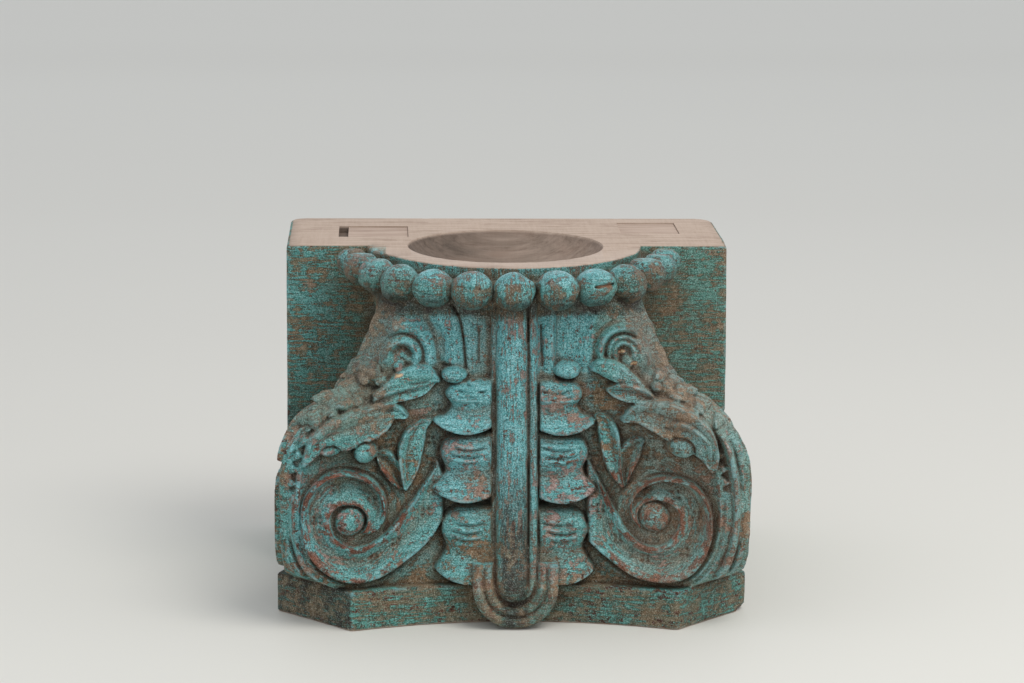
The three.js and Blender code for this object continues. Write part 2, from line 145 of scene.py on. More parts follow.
class Relief:
    """Height of one half face's carving over its plain surface; u from the rib outwards, z up."""

    def __init__(self):
        self.u = np.arange(-2.0, 174.0, FINE)
        self.z = np.arange(-1.0, 252.0, FINE)
        self.U, self.Z = np.meshgrid(self.u, self.z, indexing="ij")
        self.h = np.zeros(self.U.shape)

    def splat(self, u, z, h):
        """The highest sample that falls in each cell; far below where none does."""
        layer = np.full(self.h.shape, -99.0)
        i = np.rint((u - self.u[0]) / FINE).astype(int).ravel()
        k = np.rint((z - self.z[0]) / FINE).astype(int).ravel()
        ok = (i >= 0) & (i < layer.shape[0]) & (k >= 0) & (k < layer.shape[1])
        np.maximum.at(layer, (i[ok], k[ok]), h.ravel()[ok])
        # close pin holes between samples
        hole = layer < -50
        for ax in (0, 1):
            a, b = np.roll(layer, 1, ax), np.roll(layer, -1, ax)
            fill = hole & (a > -50) & (b > -50)
            layer[fill] = (0.5 * (a + b))[fill]
            hole = layer < -50
        return layer

    def put(self, layer, moat=1.2, reach=2.2, over=False):
        """Lays a raised ornament on the face and cuts the ground back a little round it."""
        mask = layer > -50
        near = blur(mask.astype(float), reach / FINE)
        self.h = np.where(mask, layer if over else np.maximum(layer, self.h),
                          self.h - moat * np.clip(near * 2, 0, 1))

    def bump(self, u0, z0, ru, rz, height, power=0.5, moat=1.0, base=0.0, over=True):
        r2 = ((self.U - u0) / ru) ** 2 + ((self.Z - z0) / rz) ** 2
        layer = np.where(r2 < 1, base + height * np.clip(1 - r2, 0, 1) ** power, -99.0)
        self.put(layer, moat, 1.8, over)

    def line(self, pts, width, depth, n=60):
        """A groove, or a ridge if depth is negative, along a smooth line through a few points."""
        pts = np.array(pts, float)
        t = np.linspace(0, 1, len(pts))
        s = np.linspace(0, 1, n)
        pu, pz = pchip(t, pts[:, 0])(s), pchip(t, pts[:, 1])(s)
        m = 3 * width
        box = (self.U > pu.min() - m) & (self.U < pu.max() + m) & (self.Z > pz.min() - m) & (self.Z < pz.max() + m)
        U, Z = self.U[box], self.Z[box]
        best = np.full(U.shape, 1e9)
        for a in range(n - 1):
            du, dz = pu[a + 1] - pu[a], pz[a + 1] - pz[a]
            L = du * du + dz * dz + 1e-9
            w = np.clip(((U - pu[a]) * du + (Z - pz[a]) * dz) / L, 0, 1)
            best = np.minimum(best, (U - pu[a] - w * du) ** 2 + (Z - pz[a] - w * dz) ** 2)
        self.h[box] -= depth * np.exp(-best / (0.5 * width) ** 2)

    def leaf(self, spine, half, height, edge=1.0, mid=0.55, veins=0, vein_depth=0.8, tip_up=0.0, skew=0.0,
             moat=1.6, over=True, n=300, m=110):
        """A leaf along a bent spine: half widths at its stations, rims at edge and hollow at mid times its height."""
        spine = np.array(spine, float)
        t = np.linspace(0, 1, len(spine))
        s = np.linspace(0, 1, n)
        su, sz = pchip_free(t, spine[:, 0])(s), pchip_free(t, spine[:, 1])(s)
        du, dz = np.gradient(su), np.gradient(sz)
        L = np.hypot(du, dz) + 1e-9
        nu, nz = -dz / L, du / L
        w = np.maximum(pchip(np.linspace(0, 1, len(half)), half)(s), 0.3)
        f = np.linspace(-1, 1, m)
        S, F = np.meshgrid(s, f, indexing="ij")
        fm = F - skew * (1 - F * F)
        prof = mid + (edge - mid) * np.abs(fm) ** 1.7
        prof = prof - 0.35 * np.clip((np.abs(F) - 0.86) / 0.14, 0, 1) ** 2
        rise = height * (0.45 + 0.55 * np.sin(np.pi * np.clip(0.12 + 0.8 * S, 0, 1))) + tip_up * ease((S - 0.6) / 0.4)
        hh = rise * prof
        if veins:
            hh = hh - vein_depth * (0.5 + 0.5 * np.cos(2 * np.pi * (F * veins * 0.5 + 0.25))) ** 3 * np.sin(np.pi * S) ** 0.5
        self.put(self.splat(su[:, None] + nu[:, None] * w[:, None] * F, sz[:, None] + nz[:, None] * w[:, None] * F, hh),
                 moat, 2.0, over)


def pchip_free(t, v):
    """Catmull-Rom curve through the values, for paths."""
    t = np.array(t, float)
    v = np.array(v, float)

    def f(x):
        x = np.clip(np.asarray(x, float), t[0], t[-1])
        i = np.clip(np.searchsorted(t, x) - 1, 0, len(t) - 2)
        p1, p2 = v[i], v[i + 1]
        p0 = np.where(i > 0, v[np.maximum(i - 1, 0)], 2 * p1 - p2)
        p3 = np.where(i < len(v) - 2, v[np.minimum(i + 2, len(v) - 1)], 2 * p2 - p1)
        w = (x - t[i]) / (t[i + 1] - t[i])
        return 0.5 * (2 * p1 + (p2 - p0) * w + (2 * p0 - 5 * p1 + 4 * p2 - p3) * w**2 + (3 * p1 - p0 - 3 * p2 + p3) * w**3)
    return f


# the two flanks differ as hand carving does: scroll eye, its reach towards the husks, edges of its band by turn angle
LEFT = dict(
    eye=(117.3, 77.1), eye_r=(10.8, 10.4), reach=66.5,
    outer=([-408, -375, -333, -289, -240, -213, -178, -140, -90, -43, -10, 6], [12.7, 22, 28, 32.3, 38.2, 37.4, 33.8, 36.6, 43, 48.7, 63, 72]),
    inner=([-408, -353, -270, -233, -207, -164, -124, -90, -60, -32, 0, 19, 30], [12.6, 12.2, 11.4, 14, 14.9, 14, 15.2, 18.4, 21, 25.2, 35.6, 52.9, 73]),
    ridge=([30, 41, 53, 68, 83, 97, 111, 120, 130, 138, 148], [124, 138.5, 147, 151.5, 153.4, 153.6, 152.4, 150.2, 145.8, 140.8, 131.8]),
    two_strips=False,
    crest=[(106.5, 176.0, 10.8, 10.8, -20, 9.5), (126.5, 158.0, 13.4, 10.0, -32, 9.5), (146.0, 150.0, 9.0, 7.8, -35, 8.0)],
    knobs=[(107.4, 174.0, 4.2, 3.6), (95.3, 172.7, 4.6, 4.2), (112.0, 158.6, 4.2, 3.8), (129, 153.0, 3.8, 3.2)],
    leaf=([(150, 120), (140.5, 133.5), (128, 139), (115, 142), (100, 146), (87, 151.5), (76, 146.5)], [1.2, 7, 11.5, 12.8, 11.5, 6.5, 1.2]),
    leaf2=([(101, 162), (90, 166.5), (77, 173), (64, 175.5), (53, 169.5)], [2, 4.5, 7, 6, 1]),
    leaf3=([(101, 158.5), (90, 161), (78, 163.5), (66, 165), (56, 170)], [1.5, 4.5, 5, 4, 1]),
    leaf4=None,
    ball=(106.3, 125.0, 8.6, 8.0), lobe=(131, 128.5, 7.5, 4.2),
    tulip=([(78, 94), (76, 104), (75, 113), (74, 124), (70.5, 133), (65.5, 139), (59.4, 142)], [0.9, 5.2, 7.8, 9.0, 7.8, 4.4, 1.0]),
    calyx=([(80, 95), (86, 108), (91.5, 116.5), (99, 122.5)], [1.5, 6.2, 6.2, 1.0]),
    curl=(80.5, 187.5, 25.0), rings=[(21.8, 4.6, 3.4, 25, 235), (15.6, 1.3, -3.0, 55, 262), (11.0, 2.6, 4.4, 30, 300), (5.9, 2.2, -2.6, 75, 268)],
    crack=[(44.3, 224), (38.5, 213.2), (36.5, 203), (35.6, 195.4), (34.2, 179)],
    stem=35.5, groove=[(24.9, 208), (24.6, 196), (24.8, 182)],
    dots=[(126.7, 101.2), (140.7, 79.4), (100.3, 48.5), (84.9, 59.8), (62.8, 78.5), (102.1, 89.4), (58.8, 127.4), (60.3, 112.8),
          (89.7, 127.3), (55.7, 149.8), (87.4, 136)],
    husk=(52.5, 57.0, 0.0), bud=(42.5, 174.5),
)
RIGHT = dict(
    eye=(99.9, 78.3), eye_r=(11.0, 10.8), reach=46.5,
    outer=([-405, -371, -340, -292, -247, -216, -183, -155, -117, -86, -51, -34, -10, 6], [12.5, 14.8, 18, 22.8, 30.8, 38.6, 40.3, 42.4, 46.8, 45, 44.2, 47, 56, 62]),
    inner=([-405, -333, -286, -244, -216, -189, -154, -118, -86, -51, -12, 15, 31, 38], [12, 11.6, 11.2, 13, 15.6, 18, 18.4, 20.3, 21.2, 21.3, 23.4, 32, 45.6, 58]),
    ridge=([31, 39, 51, 66, 81, 95, 109, 123, 133, 143], [122, 132, 140, 144.5, 146.3, 145.6, 144, 140.6, 136.5, 131]),
    two_strips=True,
    crest=[(106.0, 174.5, 6.8, 6.0, -30, 4.2), (122.0, 164.5, 8.5, 7.5, -38, 6.5), (134.5, 157.5, 7.5, 7.0, -40, 6.5), (147.0, 149.0, 7.5, 6.5, -40, 6.0)],
    knobs=[(114.4, 162.2, 4.6, 3.8), (102, 168.5, 3.8, 3.2), (126.0, 153.0, 4.2, 3.4)],
    leaf=([(141, 114), (136.5, 128), (127, 138), (112.5, 146.5), (98, 150), (87, 149.5), (77.5, 143.5)], [2, 8, 13, 13.5, 10.5, 6.5, 1.2]),
    leaf2=([(93, 166.5), (84, 171.5), (74, 177), (64, 180), (55.5, 178)], [2.5, 5, 6.8, 6, 1]),
    leaf3=([(103, 157.5), (93, 162), (82, 163.8), (73, 164.3), (67, 164.5)], [2, 5.2, 6.4, 4.8, 1]),
    leaf4=([(137.5, 122), (131, 134), (119.5, 141.5), (107, 142.5)], [1.8, 6.2, 6.6, 1.0]),
    ball=(118.3, 129.5, 9.4, 7.6), lobe=None,
    tulip=([(78.6, 96), (73.5, 107), (70.3, 120), (68.7, 132), (65, 141.5), (58.9, 145.8)], [0.9, 4.4, 6.6, 7.2, 5.4, 1.0]),
    calyx=([(79.3, 97), (80.5, 110), (83.5, 121), (88, 127.5), (93, 131)], [1.2, 5.4, 7.0, 4.8, 1.0]),
    curl=(80.0, 190.0, 20.0), rings=[(21.8, 1.6, -1.8, 45, 190), (17.6, 2.5, 5.0, 40, 318), (13.4, 1.2, -3.2, 45, 240), (11.2, 1.4, 3.0, 45, 300),
                                     (9.2, 1.0, -1.6, 45, 260), (7.2, 1.6, 3.0, 30, 320), (3.6, 1.9, -3.2, 0, 360)],
    crack=None,
    stem=30.5, groove=[(19.8, 209), (20.3, 196), (21.3, 180)],
    dots=[(95.6, 94.9), (115.4, 94.8), (130, 81.5), (121.6, 54.2), (94.2, 48.4), (74.9, 61.4), (62.7, 81), (60, 132.8),
          (59.2, 158.2), (58.9, 114), (98.4, 120.9)],
    husk=(53.5, 58.0, -0.6), bud=(38.5, 177.0),
)


def scroll(R, P):
    eu, ez = P["eye"]
    Ro, Ri = pchip(*P["outer"]), pchip(*P["inner"])
    lo = P["outer"][0][0]
    hi = P["inner"][0][-1]
    phi = np.linspace(lo, hi, 2000)
    lim = np.where(phi > -75, P["reach"] / np.maximum(np.cos(np.radians(phi)), 0.05), 1e9)
    ro = np.minimum(Ro(phi), lim)
    ri = np.minimum(Ri(phi), ro - 0.6)
    wide = ro - ri
    hr = pchip([-408, -375, -320, -213, -140, -90, -43, -10, 38], [12, 15, 17, 17.5, 16.5, 15.5, 14, 11, 8])(phi)
    hc = pchip([-408, -350, -280, -200, -140, -90, -43, -10, 38], [12, 8.5, 4.0, 2.5, 4.5, 6.5, 7.0, 6.5, 5])(phi)
    hi_ = pchip([-408, -350, -280, -190, -120, -90, -43, 0, 38], [15, 14.5, 13, 11.5, 12, 13.5, 15, 15, 11])(phi)
    fc = pchip([-408, -350, -280, -200, -140, -90, -30, 38], [0.5, 0.34, 0.22, 0.26, 0.48, 0.58, 0.6, 0.6])(phi)
    f = np.linspace(0, 1, 130)
    F = np.broadcast_to(f[None, :], (len(phi), len(f)))
    c = lambda a: a[:, None]
    up = c(hc) + (c(hr) - c(hc)) * np.clip(1 - np.maximum(F - 0.055, 0) / (c(fc) - 0.055), 0, 1) ** 1.7
    dn = c(hc) + (c(hi_) - c(hc)) * np.clip((F - c(fc)) / (1 - c(fc)), 0, 1) ** 1.6
    h = np.where(F < c(fc), up, dn)
    mm = F * c(wide)
    h = h - 2.8 * np.clip(1 - mm / 2.4, 0, 1) ** 2 - 1.8 * np.clip(1 - (c(wide) - mm) / 1.8, 0, 1) ** 2
    # shallow gouge lines that run along the channel
    h = h + 0.38 * np.sin(mm * 1.55 + 2.0 * np.sin(c(np.radians(phi)) * 1.7)) * np.clip(mm / 6, 0, 1) * np.clip((c(wide) - mm) / 6, 0, 1)
    r = c(ro) - mm
    a = np.radians(c(phi))
    layer = R.splat(eu - r * np.cos(a), ez + r * np.sin(a), h)
    # the hollow between the stem and the end of the rim is cut deep
    r_eye = np.hypot((R.U - eu) / 1.0, R.Z - ez)
    inside = (r_eye < 26) & (layer < -50)
    R.put(layer, 1.9, 2.6, True)
    R.h = np.where(inside, np.maximum(R.h, 3.6 + 0.12 * (26 - r_eye)), R.h)

    # knob, with a flat broken spot on top
    ru, rz = P["eye_r"]
    r2 = ((R.U - eu) / ru) ** 2 + ((R.Z - ez) / rz) ** 2
    dome = 5.0 + 11.5 * np.clip(1 - r2, 0, 1) ** 0.55
    dome = np.where(dome > 15.6, 15.6 + (dome - 15.6) * 0.5, dome)
    R.put(np.where(r2 < 1, dome, -99.0), 1.6, 1.2, True)
    # polar distance outside the rim, for the lines that follow it
    ang = np.degrees(np.arctan2(R.Z - ez, -(R.U - eu)))
    turn = np.where(ang > 0, ang - 360, ang)
    dist = np.hypot(R.U - eu, R.Z - ez) - Ro(turn)
    return turn, dist, layer > -50


def corner_band(R, P, turn, dist, on_scroll, plain):
    """Boundary ridge, notched row and rounded strip along the horn's corner, and the lines under the scroll."""
    u_of = pchip(*P["ridge"])
    z_hi = P["ridge"][0][-1]
    slope = (u_of(R.z + 0.5) - u_of(R.z - 0.5))
    e = (R.U - u_of(R.z)[None, :]) / np.sqrt(1 + slope**2)[None, :]
    e = np.where(R.Z < 44, np.maximum(e, -99), e)
    free = ~on_scroll
    zone = ease((R.Z - 30) / 6) * ease((z_hi + 3.0 - R.Z) / 3) * free
    ridge = 3.6 * np.exp(-((e / 1.3) ** 2))
    low = ease((104 - R.Z) / 8)
    second = 2.4 * np.exp(-(((e - 4.0) / 1.3) ** 2)) * low
    row = np.where((e > 1.2) & (e < 8.2), 1.3, 0.0)
    if not plain:
        pitch = 9.6
        t = ((R.Z - 97) / pitch) % 1.0
        tri = np.clip(1 - np.abs(t - 0.5) * 2 - np.clip((e - 3.2) / 5.0, 0, 1) * 0.75, 0, 1) * ((e > 2.2) & (e < 7.6))
        if P["two_strips"]:
            tri = np.clip(1 - np.abs(t - 0.5) * 2 - np.clip((7.4 - e) / 5.0, 0, 1) * 0.75, 0, 1) * ((e > 2.6) & (e < 7.8))
        pits = 5.2 * ease(tri * 2.6) * ease((R.Z - 96) / 3) * ease((z_hi + 1 - R.Z) / 3)
    else:
        pits = 0
    groove = -3.0 * np.exp(-(((e - 8.6) / 1.0) ** 2))
    strip = np.where(e > 8.6, 3.6 * np.sqrt(np.clip(1 - ((e - 11.8) / 3.4) ** 2, 0, 1)) if P["two_strips"] else
                     4.2 * np.sqrt(np.clip((e - 8.6) / 5.0, 0, 1)), 0)
    outer = 0
    if P["two_strips"]:
        outer = np.where(e > 15.4, 4.4 * np.sqrt(np.clip((e - 15.4) / 4.5, 0, 1)), 0) - 2.6 * np.exp(-(((e - 15.3) / 0.9) ** 2))
    band = ridge + second + row * (1 - low) + groove + strip + outer - pits * (1 - low * 0.9)
    # shallow lines along the strip's lower part, which curls under
    band = band + 0.9 * np.cos(2 * np.pi * (e - 10) / 3.9) * ease((100 - R.Z) / 30) * (e > 9.5)
    # the strips' upper ends are rounded off like fingertips
    cap = ease((z_hi - 1.5 - R.Z - 0.55 * np.clip(np.abs(e - 12.5) - 1.5, 0, 8) ** 1.3) / 2.6)
    band = np.where(e > 8.6, band * cap, band)
    R.h = np.where(zone > 0, R.h + band * zone, R.h)
    # under the scroll the ridge and its neighbour turn inwards and die out
    w = ease((-turn - 28) / 30) * ease((turn + 150) / 25) * free * (dist > 0)
    R.h = R.h + w * (2.6 * np.exp(-(((dist - 4.2) / 1.4) ** 2)) + 1.6 * np.exp(-(((dist - 8.6) / 1.3) ** 2)))
    # thin ring above the scroll, on the rib's side
    w = ease((turn + 345) / 20) * ease((-turn - 232) / 20) * free * (dist > 0)
    R.h = R.h + w * (1.8 * np.exp(-(((dist - 3.6) / 1.5) ** 2)) - 0.8 * np.exp(-(((dist - 7.0) / 1.2) ** 2)))


def husk(R, top, lip, bulge, flare, height, seed, soft=False, neck=0.64):
    """One bellflower tier: round shoulder, swelling, neck and flared lip, with cut crescents."""
    inner = 12.5
    t = np.linspace(0, 1, 260)
    s = np.linspace(0, 1, 220)
    T, S = np.meshgrid(t, s, indexing="ij")
    wide = pchip([0, 0.06, 0.16, 0.36, neck, 0.84, 0.95, 1], [bulge - 15, bulge - 8, bulge - 2.5, bulge, bulge - 3.6, bulge + 0.6, flare, flare + 0.6])(t)
    tall = height * pchip([0, 0.06, 0.2, 0.38, neck + 0.03, 0.86, 0.96, 1], [0.42, 0.68, 0.92, 1.0, 0.78, 0.93, 1.04, 0.98])(t)
    cross = np.sqrt(np.clip(1 - np.clip((S - 0.42) / 0.60, 0, 1) ** 2.3, 0, 1)) * 0.78 + 0.22
    cross = cross - 0.16 * np.clip(1 - S / 0.16, 0, 1) ** 1.5
    h = tall[:, None] * cross
    # cut crescents across the swelling, and a pair of fine ones in the neck
    for i, (tc, dep, a, b) in enumerate([(0.12, 2.2, 0.18, 0.80), (0.235, 2.9, 0.10, 0.86), (0.345, 2.7, 0.20, 0.90), (0.455, 1.8, 0.30, 0.86)]):
        c = tc + 0.035 * np.sin(np.pi * (S - a) / (b - a)) + 0.010 * np.sin(7 * S + seed + i)
        dd = (T - c) * (top - lip)
        h = h - (dep * np.exp(-((dd / 1.15) ** 2)) - 0.45 * dep * np.exp(-(((dd - 2.1) / 1.1) ** 2))) * ease((S - a) / 0.14) * ease((b - S) / 0.14)
    z = top + (lip - top) * T - 7.5 * T**2 * np.sin(np.pi * np.clip(S * 1.02 - 0.01, 0, 1)) ** 0.8 - 2.2 * T**6 * (1 - S)
    u = inner + (wide[:, None] - inner) * S
    layer = R.splat(u, z, h)
    if soft:        # the topmost tier grows out of the stem
        R.put(np.where((layer > -50) & (R.Z > top - 9), np.maximum(layer, R.h + 0.3), layer), 0.9, 2.0, True)
    else:
        R.put(layer, 2.4, 2.2, True)


def half_face(P, plain=False, rib=True, seed=1):
    """The carving of one half face, as height over the plain surface."""
    R = Relief()
    rng = np.random.default_rng(seed)
    U, Z = R.U, R.Z
    # ground: slow unevenness and gouge marks
    R.h += 0.35 * lattice_noise(R.h.shape, (40, 30), rng, 2) + 0.16 * lattice_noise(R.h.shape, (9, 5), rng, 2)
    R.h *= ease((Z - 28) / 4)

    # curl under the necking: nested arcs round one centre, each fading out at its ends; 0 degrees is down, 90 towards the rib
    cu, cz, cr = P["curl"]
    r = np.hypot(U - cu, Z - cz)
    turn_ = (np.degrees(np.arctan2(Z - cz, -(U - cu))) + 90) % 360
    inner = ease((corner_out(Z) / math.sqrt(2) - 2.0 - U) / 7)
    R.h += 2.6 * ease((cr + 2 - r) / 8) * ease((turn_ - 20) / 40) * ease((330 - turn_) / 40) * inner
    for rad, wide, high, lo, hi in P["rings"]:
        span = 1.0 if hi - lo >= 360 else ease((turn_ - lo) / 28) * ease((hi - turn_) / 28)
        R.h += high * np.exp(-(((r - rad) / wide) ** 2)) * span * inner

    R.bump(cu + 1.5, cz - 6.5, 4.2, 5.2, 2.6, 0.6, 0.6, 1.5)

    if not plain:
        # panel edge that sweeps down from the necking beside the curl
        R.line([(60, 216), (55.5, 206), (52.5, 195.5), (51.5, 184)], 2.4, -1.8)
        R.line([(63.5, 214), (58.5, 204), (56, 195.5), (55, 186)], 1.6, 1.2)

    turn, dist, on_scroll = scroll(R, P)
    corner_band(R, P, turn, dist, on_scroll, plain)

    # crest of overlapping scales down the corner, with small round eyes between them
    for c_u, c_z, a_u, a_z, turn_deg, rise in P["crest"]:
        t = math.radians(turn_deg)
        du = (U - c_u) * math.cos(t) - (Z - c_z) * math.sin(t)
        dz = (U - c_u) * math.sin(t) + (Z - c_z) * math.cos(t)
        p = 1.3 if P["two_strips"] else 2.0
        r = ((np.abs(du) / a_u) ** p + (np.abs(dz) / a_z) ** p) ** (1 / p)
        around = np.arctan2(dz + 0.45 * a_z, du + 0.35 * a_u)
        dome = rise * (0.50 + 0.62 * np.sqrt(np.clip(1 - r**2, 0, 1))) + 1.3 * np.exp(-(((r - 0.90) / 0.07) ** 2)) - 1.7 * np.exp(-(((r - 0.74 + 0.03 * around) / 0.07) ** 2))
        dome = dome - 0.9 * (0.5 + 0.5 * np.cos(around * 9.0)) ** 3 * ease((0.72 - r) / 0.2) - 1.5 * np.exp(-((np.hypot(du / a_u + 0.22, dz / a_z + 0.05) / 0.17) ** 2))
        fade = ease((dz + 0.55 * a_z) / (0.9 * a_z))
        layer = np.where((r < 1) & (fade > 0.02), R.h * (1 - fade) + (np.minimum(R.h, 3.0) + dome) * fade, -99.0)
        R.put(layer, 4.6, 1.5, True)
    for c_u, c_z, a_u, a_z in P["knobs"]:
        R.bump(c_u, c_z, a_u, a_z, 4.0, 0.42, 2.0, 4.6)
        r = np.hypot((U - c_u) / a_u, (Z - c_z) / a_z)
        R.h -= 1.6 * np.exp(-(((r - 0.55) / 0.16) ** 2))

    # leaves, from the back layer forwards
    k = 1.0
    R.leaf(*P["calyx"], 11, edge=1.0, mid=0.2, moat=1.6)
    R.leaf(*P["tulip"], 13, edge=0.95, mid=0.55, veins=2, vein_depth=2.0, moat=2.2)
    R.leaf(*P["leaf2"], 13.0, edge=0.85, mid=0.95, veins=2, vein_depth=1.4, moat=2.0)
    R.leaf(*P["leaf3"], 14.5, edge=1.0, mid=0.6, veins=2, vein_depth=1.5, moat=2.0)
    R.leaf(*P["leaf"], 18.5, edge=0.98, mid=0.66, veins=3, vein_depth=1.9, tip_up=1.5, moat=2.8)
    if P["leaf4"]:
        R.leaf(*P["leaf4"], 20.5, edge=1.0, mid=0.7, veins=2, vein_depth=1.4, moat=1.2)
    elif not plain:
        R.line([(108, 151.5), (98, 153.8), (87, 153.2)], 2.4, 2.2)
        R.line([(134, 139.5), (122, 146), (108, 149)], 2.0, 1.4)
    if P["lobe"]:
        R.bump(*P["lobe"], 9.5, 0.4, 2.0, 2.0)
    bu, bz, br, bs = P["ball"]
    R.bump(bu, bz, br, bs, 13.0, 0.42, 3.0, 5.0)

    # stems above the top husk
    zs = ease((Z - 158) / 8)
    if P["crack"]:      # the stem and the panel beside it are one broad swelling, parted only by a crack
        edge_u = 52.0 + 9.0 * ease((Z - 192) / 26) ** 1.4 - 14.0 * ease((184 - Z) / 10)
        stem = 6.8 * (1 - ease((U - edge_u + 7) / 8)) + 0.9 * np.exp(-(((U - 41) / 7) ** 2)) - 1.1 * np.exp(-(((U - 17) / 3) ** 2))
    else:
        edge_u = P["stem"] + 2.5 * ease((178 - Z) / 10) + 1.0 * ease((Z - 205) / 18)
        stem = 6.8 * (1 - ease((U - edge_u + 1.8) / 2.6)) - 1.1 * np.exp(-(((U - 16.5) / 3) ** 2))
        stem = stem + 1.0 * np.exp(-(((U - edge_u + 3.2) / 2.2) ** 2))
    R.h = R.h + np.maximum(stem, 0) * zs
    if not plain:
        R.line(P["groove"], 1.6, 2.6)
        if P["crack"]:
            R.line(P["crack"], 1.5, 4.5)

    # husks, lowest first, because each lip stands over the next tier's shoulder
    bulge, flare, dz = P["husk"]
    husk(R, 82.5 + dz, 39.5 + dz, bulge - 0.5, flare - 1.0, 19.5 * k, seed)
    husk(R, 133.5 + dz, 94.5 + dz, bulge, flare + 0.4, 20 * k, seed + 1)
    husk(R, 171.5 + dz, 142.0 + dz, bulge - 4.0, flare + 0.2, 19.5 * k, seed + 2, neck=0.6, soft=True)
    cu1, cz1 = P["bud"]
    R.bump(cu1, cz1, 9.4, 5.9, 8.5, 0.45, 1.8, 7.0)
    R.line([(cu1 + 6, cz1 + 2.2), (cu1, cz1 + 1.0), (cu1 - 6, cz1 + 2.0)], 1.3, 1.0)
    if not plain:
        # the leaf that folds down from the curl over the husk's shoulder
        R.line([(36, 171.5), (30, 165.5), (22, 163)], 1.6, 2.2)
        R.line([(40, 164.5), (30, 160), (20, 161.5)], 1.5, 1.6)

    # the corner above the crest is left smooth
    R.h *= 1 - 0.9 * ease((U - corner_out(Z) / math.sqrt(2) + 11) / 7) * ease((Z - 180) / 7)

    # punched groups of four dots
    if not plain:
        for du, dz_ in P["dots"]:
            for a, b in ((-2.0, -2.0), (2.0, -2.0), (-2.0, 2.0), (2.0, 2.0)):
                a, b = a + rng.uniform(-0.3, 0.3), b + rng.uniform(-0.3, 0.3)
                R.h -= 2.8 * np.exp(-(((U - du - a) ** 2 + (Z - dz_ - b) ** 2) / 1.15**2))
    return R


def front_maps():
    """q of the carved front by (x, z), its relief, the same for both side faces by (q, z), and the tongue."""
    L, Rr = half_face(LEFT, seed=3), half_face(RIGHT, seed=8)
    SL, SR = half_face(LEFT, plain=True, seed=5), half_face(RIGHT, plain=True, seed=6)
    u, z = L.u, L.z
    x = np.arange(-EDGE - 2, EDGE + 2 + FINE / 2, FINE)
    hx = np.zeros((len(x), len(z)))
    left, right = x < 0, x >= 0

    def take(M, uu):
        f = (uu - u[0]) / FINE
        i = np.clip(f.astype(int), 0, len(u) - 2)
        w = (f - i)[:, None]
        return M.h[i] * (1 - w) + M.h[i + 1] * w
    hx[left] = take(L, -x[left])
    hx[right] = take(Rr, x[right])
    X, Z = np.meshgrid(x, z, indexing="ij")

    def settle(base, h):
        """Relief over the base, eased to stay behind the widest outline."""
        f = base + h
        t = np.clip((f - (EDGE - 7)) / 14, 0, 1)
        return np.where(f > EDGE - 7, np.minimum(EDGE - 7 + 14 * (t - t * t / 2), EDGE), f)
    front = settle(face_out(X, Z), hx)

    # central rib: a round core and a slim bead along its right side
    rng = np.random.default_rng(4)
    wave = 0.35 * lattice_noise(X.shape, (60, 50), rng, 2)
    rx = 0.6 + 0.9 * np.sin((Z - 20) / 90) + wave
    ro = rib_out(Z) + 0.35 * lattice_noise(X.shape, (30, 60), rng, 2)
    d = np.abs((X - rx + 2.6) / 11.4)
    core = ro - 8.2 * (1 - np.sqrt(np.clip(1 - np.clip(d, 0, 1) ** 2.2, 0, 1)))
    r_tip = np.hypot((X - rx + 1.6) / 11.6, np.minimum(Z - 30, 0) / 12.0)
    tip = ro - 8.2 * (1 - np.sqrt(np.clip(1 - np.clip(r_tip, 0, 1) ** 2.2, 0, 1)))
    core = np.where(Z < 30, np.where(r_tip < 1, tip, -99), np.where(d < 1, core, -99))
    bead = np.where(np.abs(X - rx - 12.6) < 3.2, ro - 7.6 + 2.6 * np.sqrt(np.clip(1 - ((X - rx - 12.6) / 3.2) ** 2, 0, 1)), -99)
    fillet = np.where(np.abs(X - rx + 15.8) < 1.8, ro - 10.5 + 1.0 * np.sqrt(np.clip(1 - ((X - rx + 15.8) / 1.8) ** 2, 0, 1)), -99)
    gutter = np.where(np.abs(X - rx) < 17.4, ro - 11.8 - 0.9 * np.cos((X - rx) * 0.5), -99)
    above = Z > 30
    for part in (gutter, fillet, bead):
        front = np.where(above & (np.abs(X - rx) < 17.4), np.maximum(np.where(part is gutter, np.minimum(front, 0) + part, front), part), front)
    front = np.maximum(front, core)

    # tongue round the rib's end: two U-shaped mouldings, standing out over the abacus
    tx, tz = 0.6, 31.0
    rr = np.hypot(X - tx, np.minimum(Z - tz, 0))
    fall = 7.5 * ease((Z - 24) / 20) + 1.0 * ease((6 - Z) / 8)
    tongue = (169.6 - fall - 4.8 * np.exp(-(((rr - 22.4) / 1.7) ** 2)) - 8.5 * np.exp(-(((rr - 14.2) / 2.6) ** 2))
              - 7.5 * ease((12.5 - rr) / 3.0) - 2.6 * np.clip((rr - 26.5) / 4.0, 0, 1) ** 2
              - 1.2 * np.clip(1 - np.abs(rr - 18.3) / 3.4, 0, 1) * 0 - 1.8 * ease((21.5 - rr) / 2))
    tongue = tongue + 0.35 * lattice_noise(X.shape, (16, 12), rng, 2)
    front, hx, tongue = blur(front, 0.9), blur(hx, 0.9), blur(tongue, 1.0)
    sides = []
    back_in = pchip([110, 120, 128, 135, 143, 150, 165, 185, 200, 212, 226], [0, 0.6, 3.2, 7.0, 10.0, 10.0, 8.5, 5.5, 3.5, 2.5, 1.5])
    for S, share in ((SL, 0.62), (SR, 1.0)):
        S.h = S.h * (1 - 0.72 * ease((S.Z - 164) / 14))
        sides.append((blur(settle(face_out(S.U, S.Z), S.h) - share * back_in(S.Z), 1.1), blur(S.h, 0.9)))
    return x, z, front, hx, u, sides, tongue, np.maximum(rr - 30.6, Z - 46)


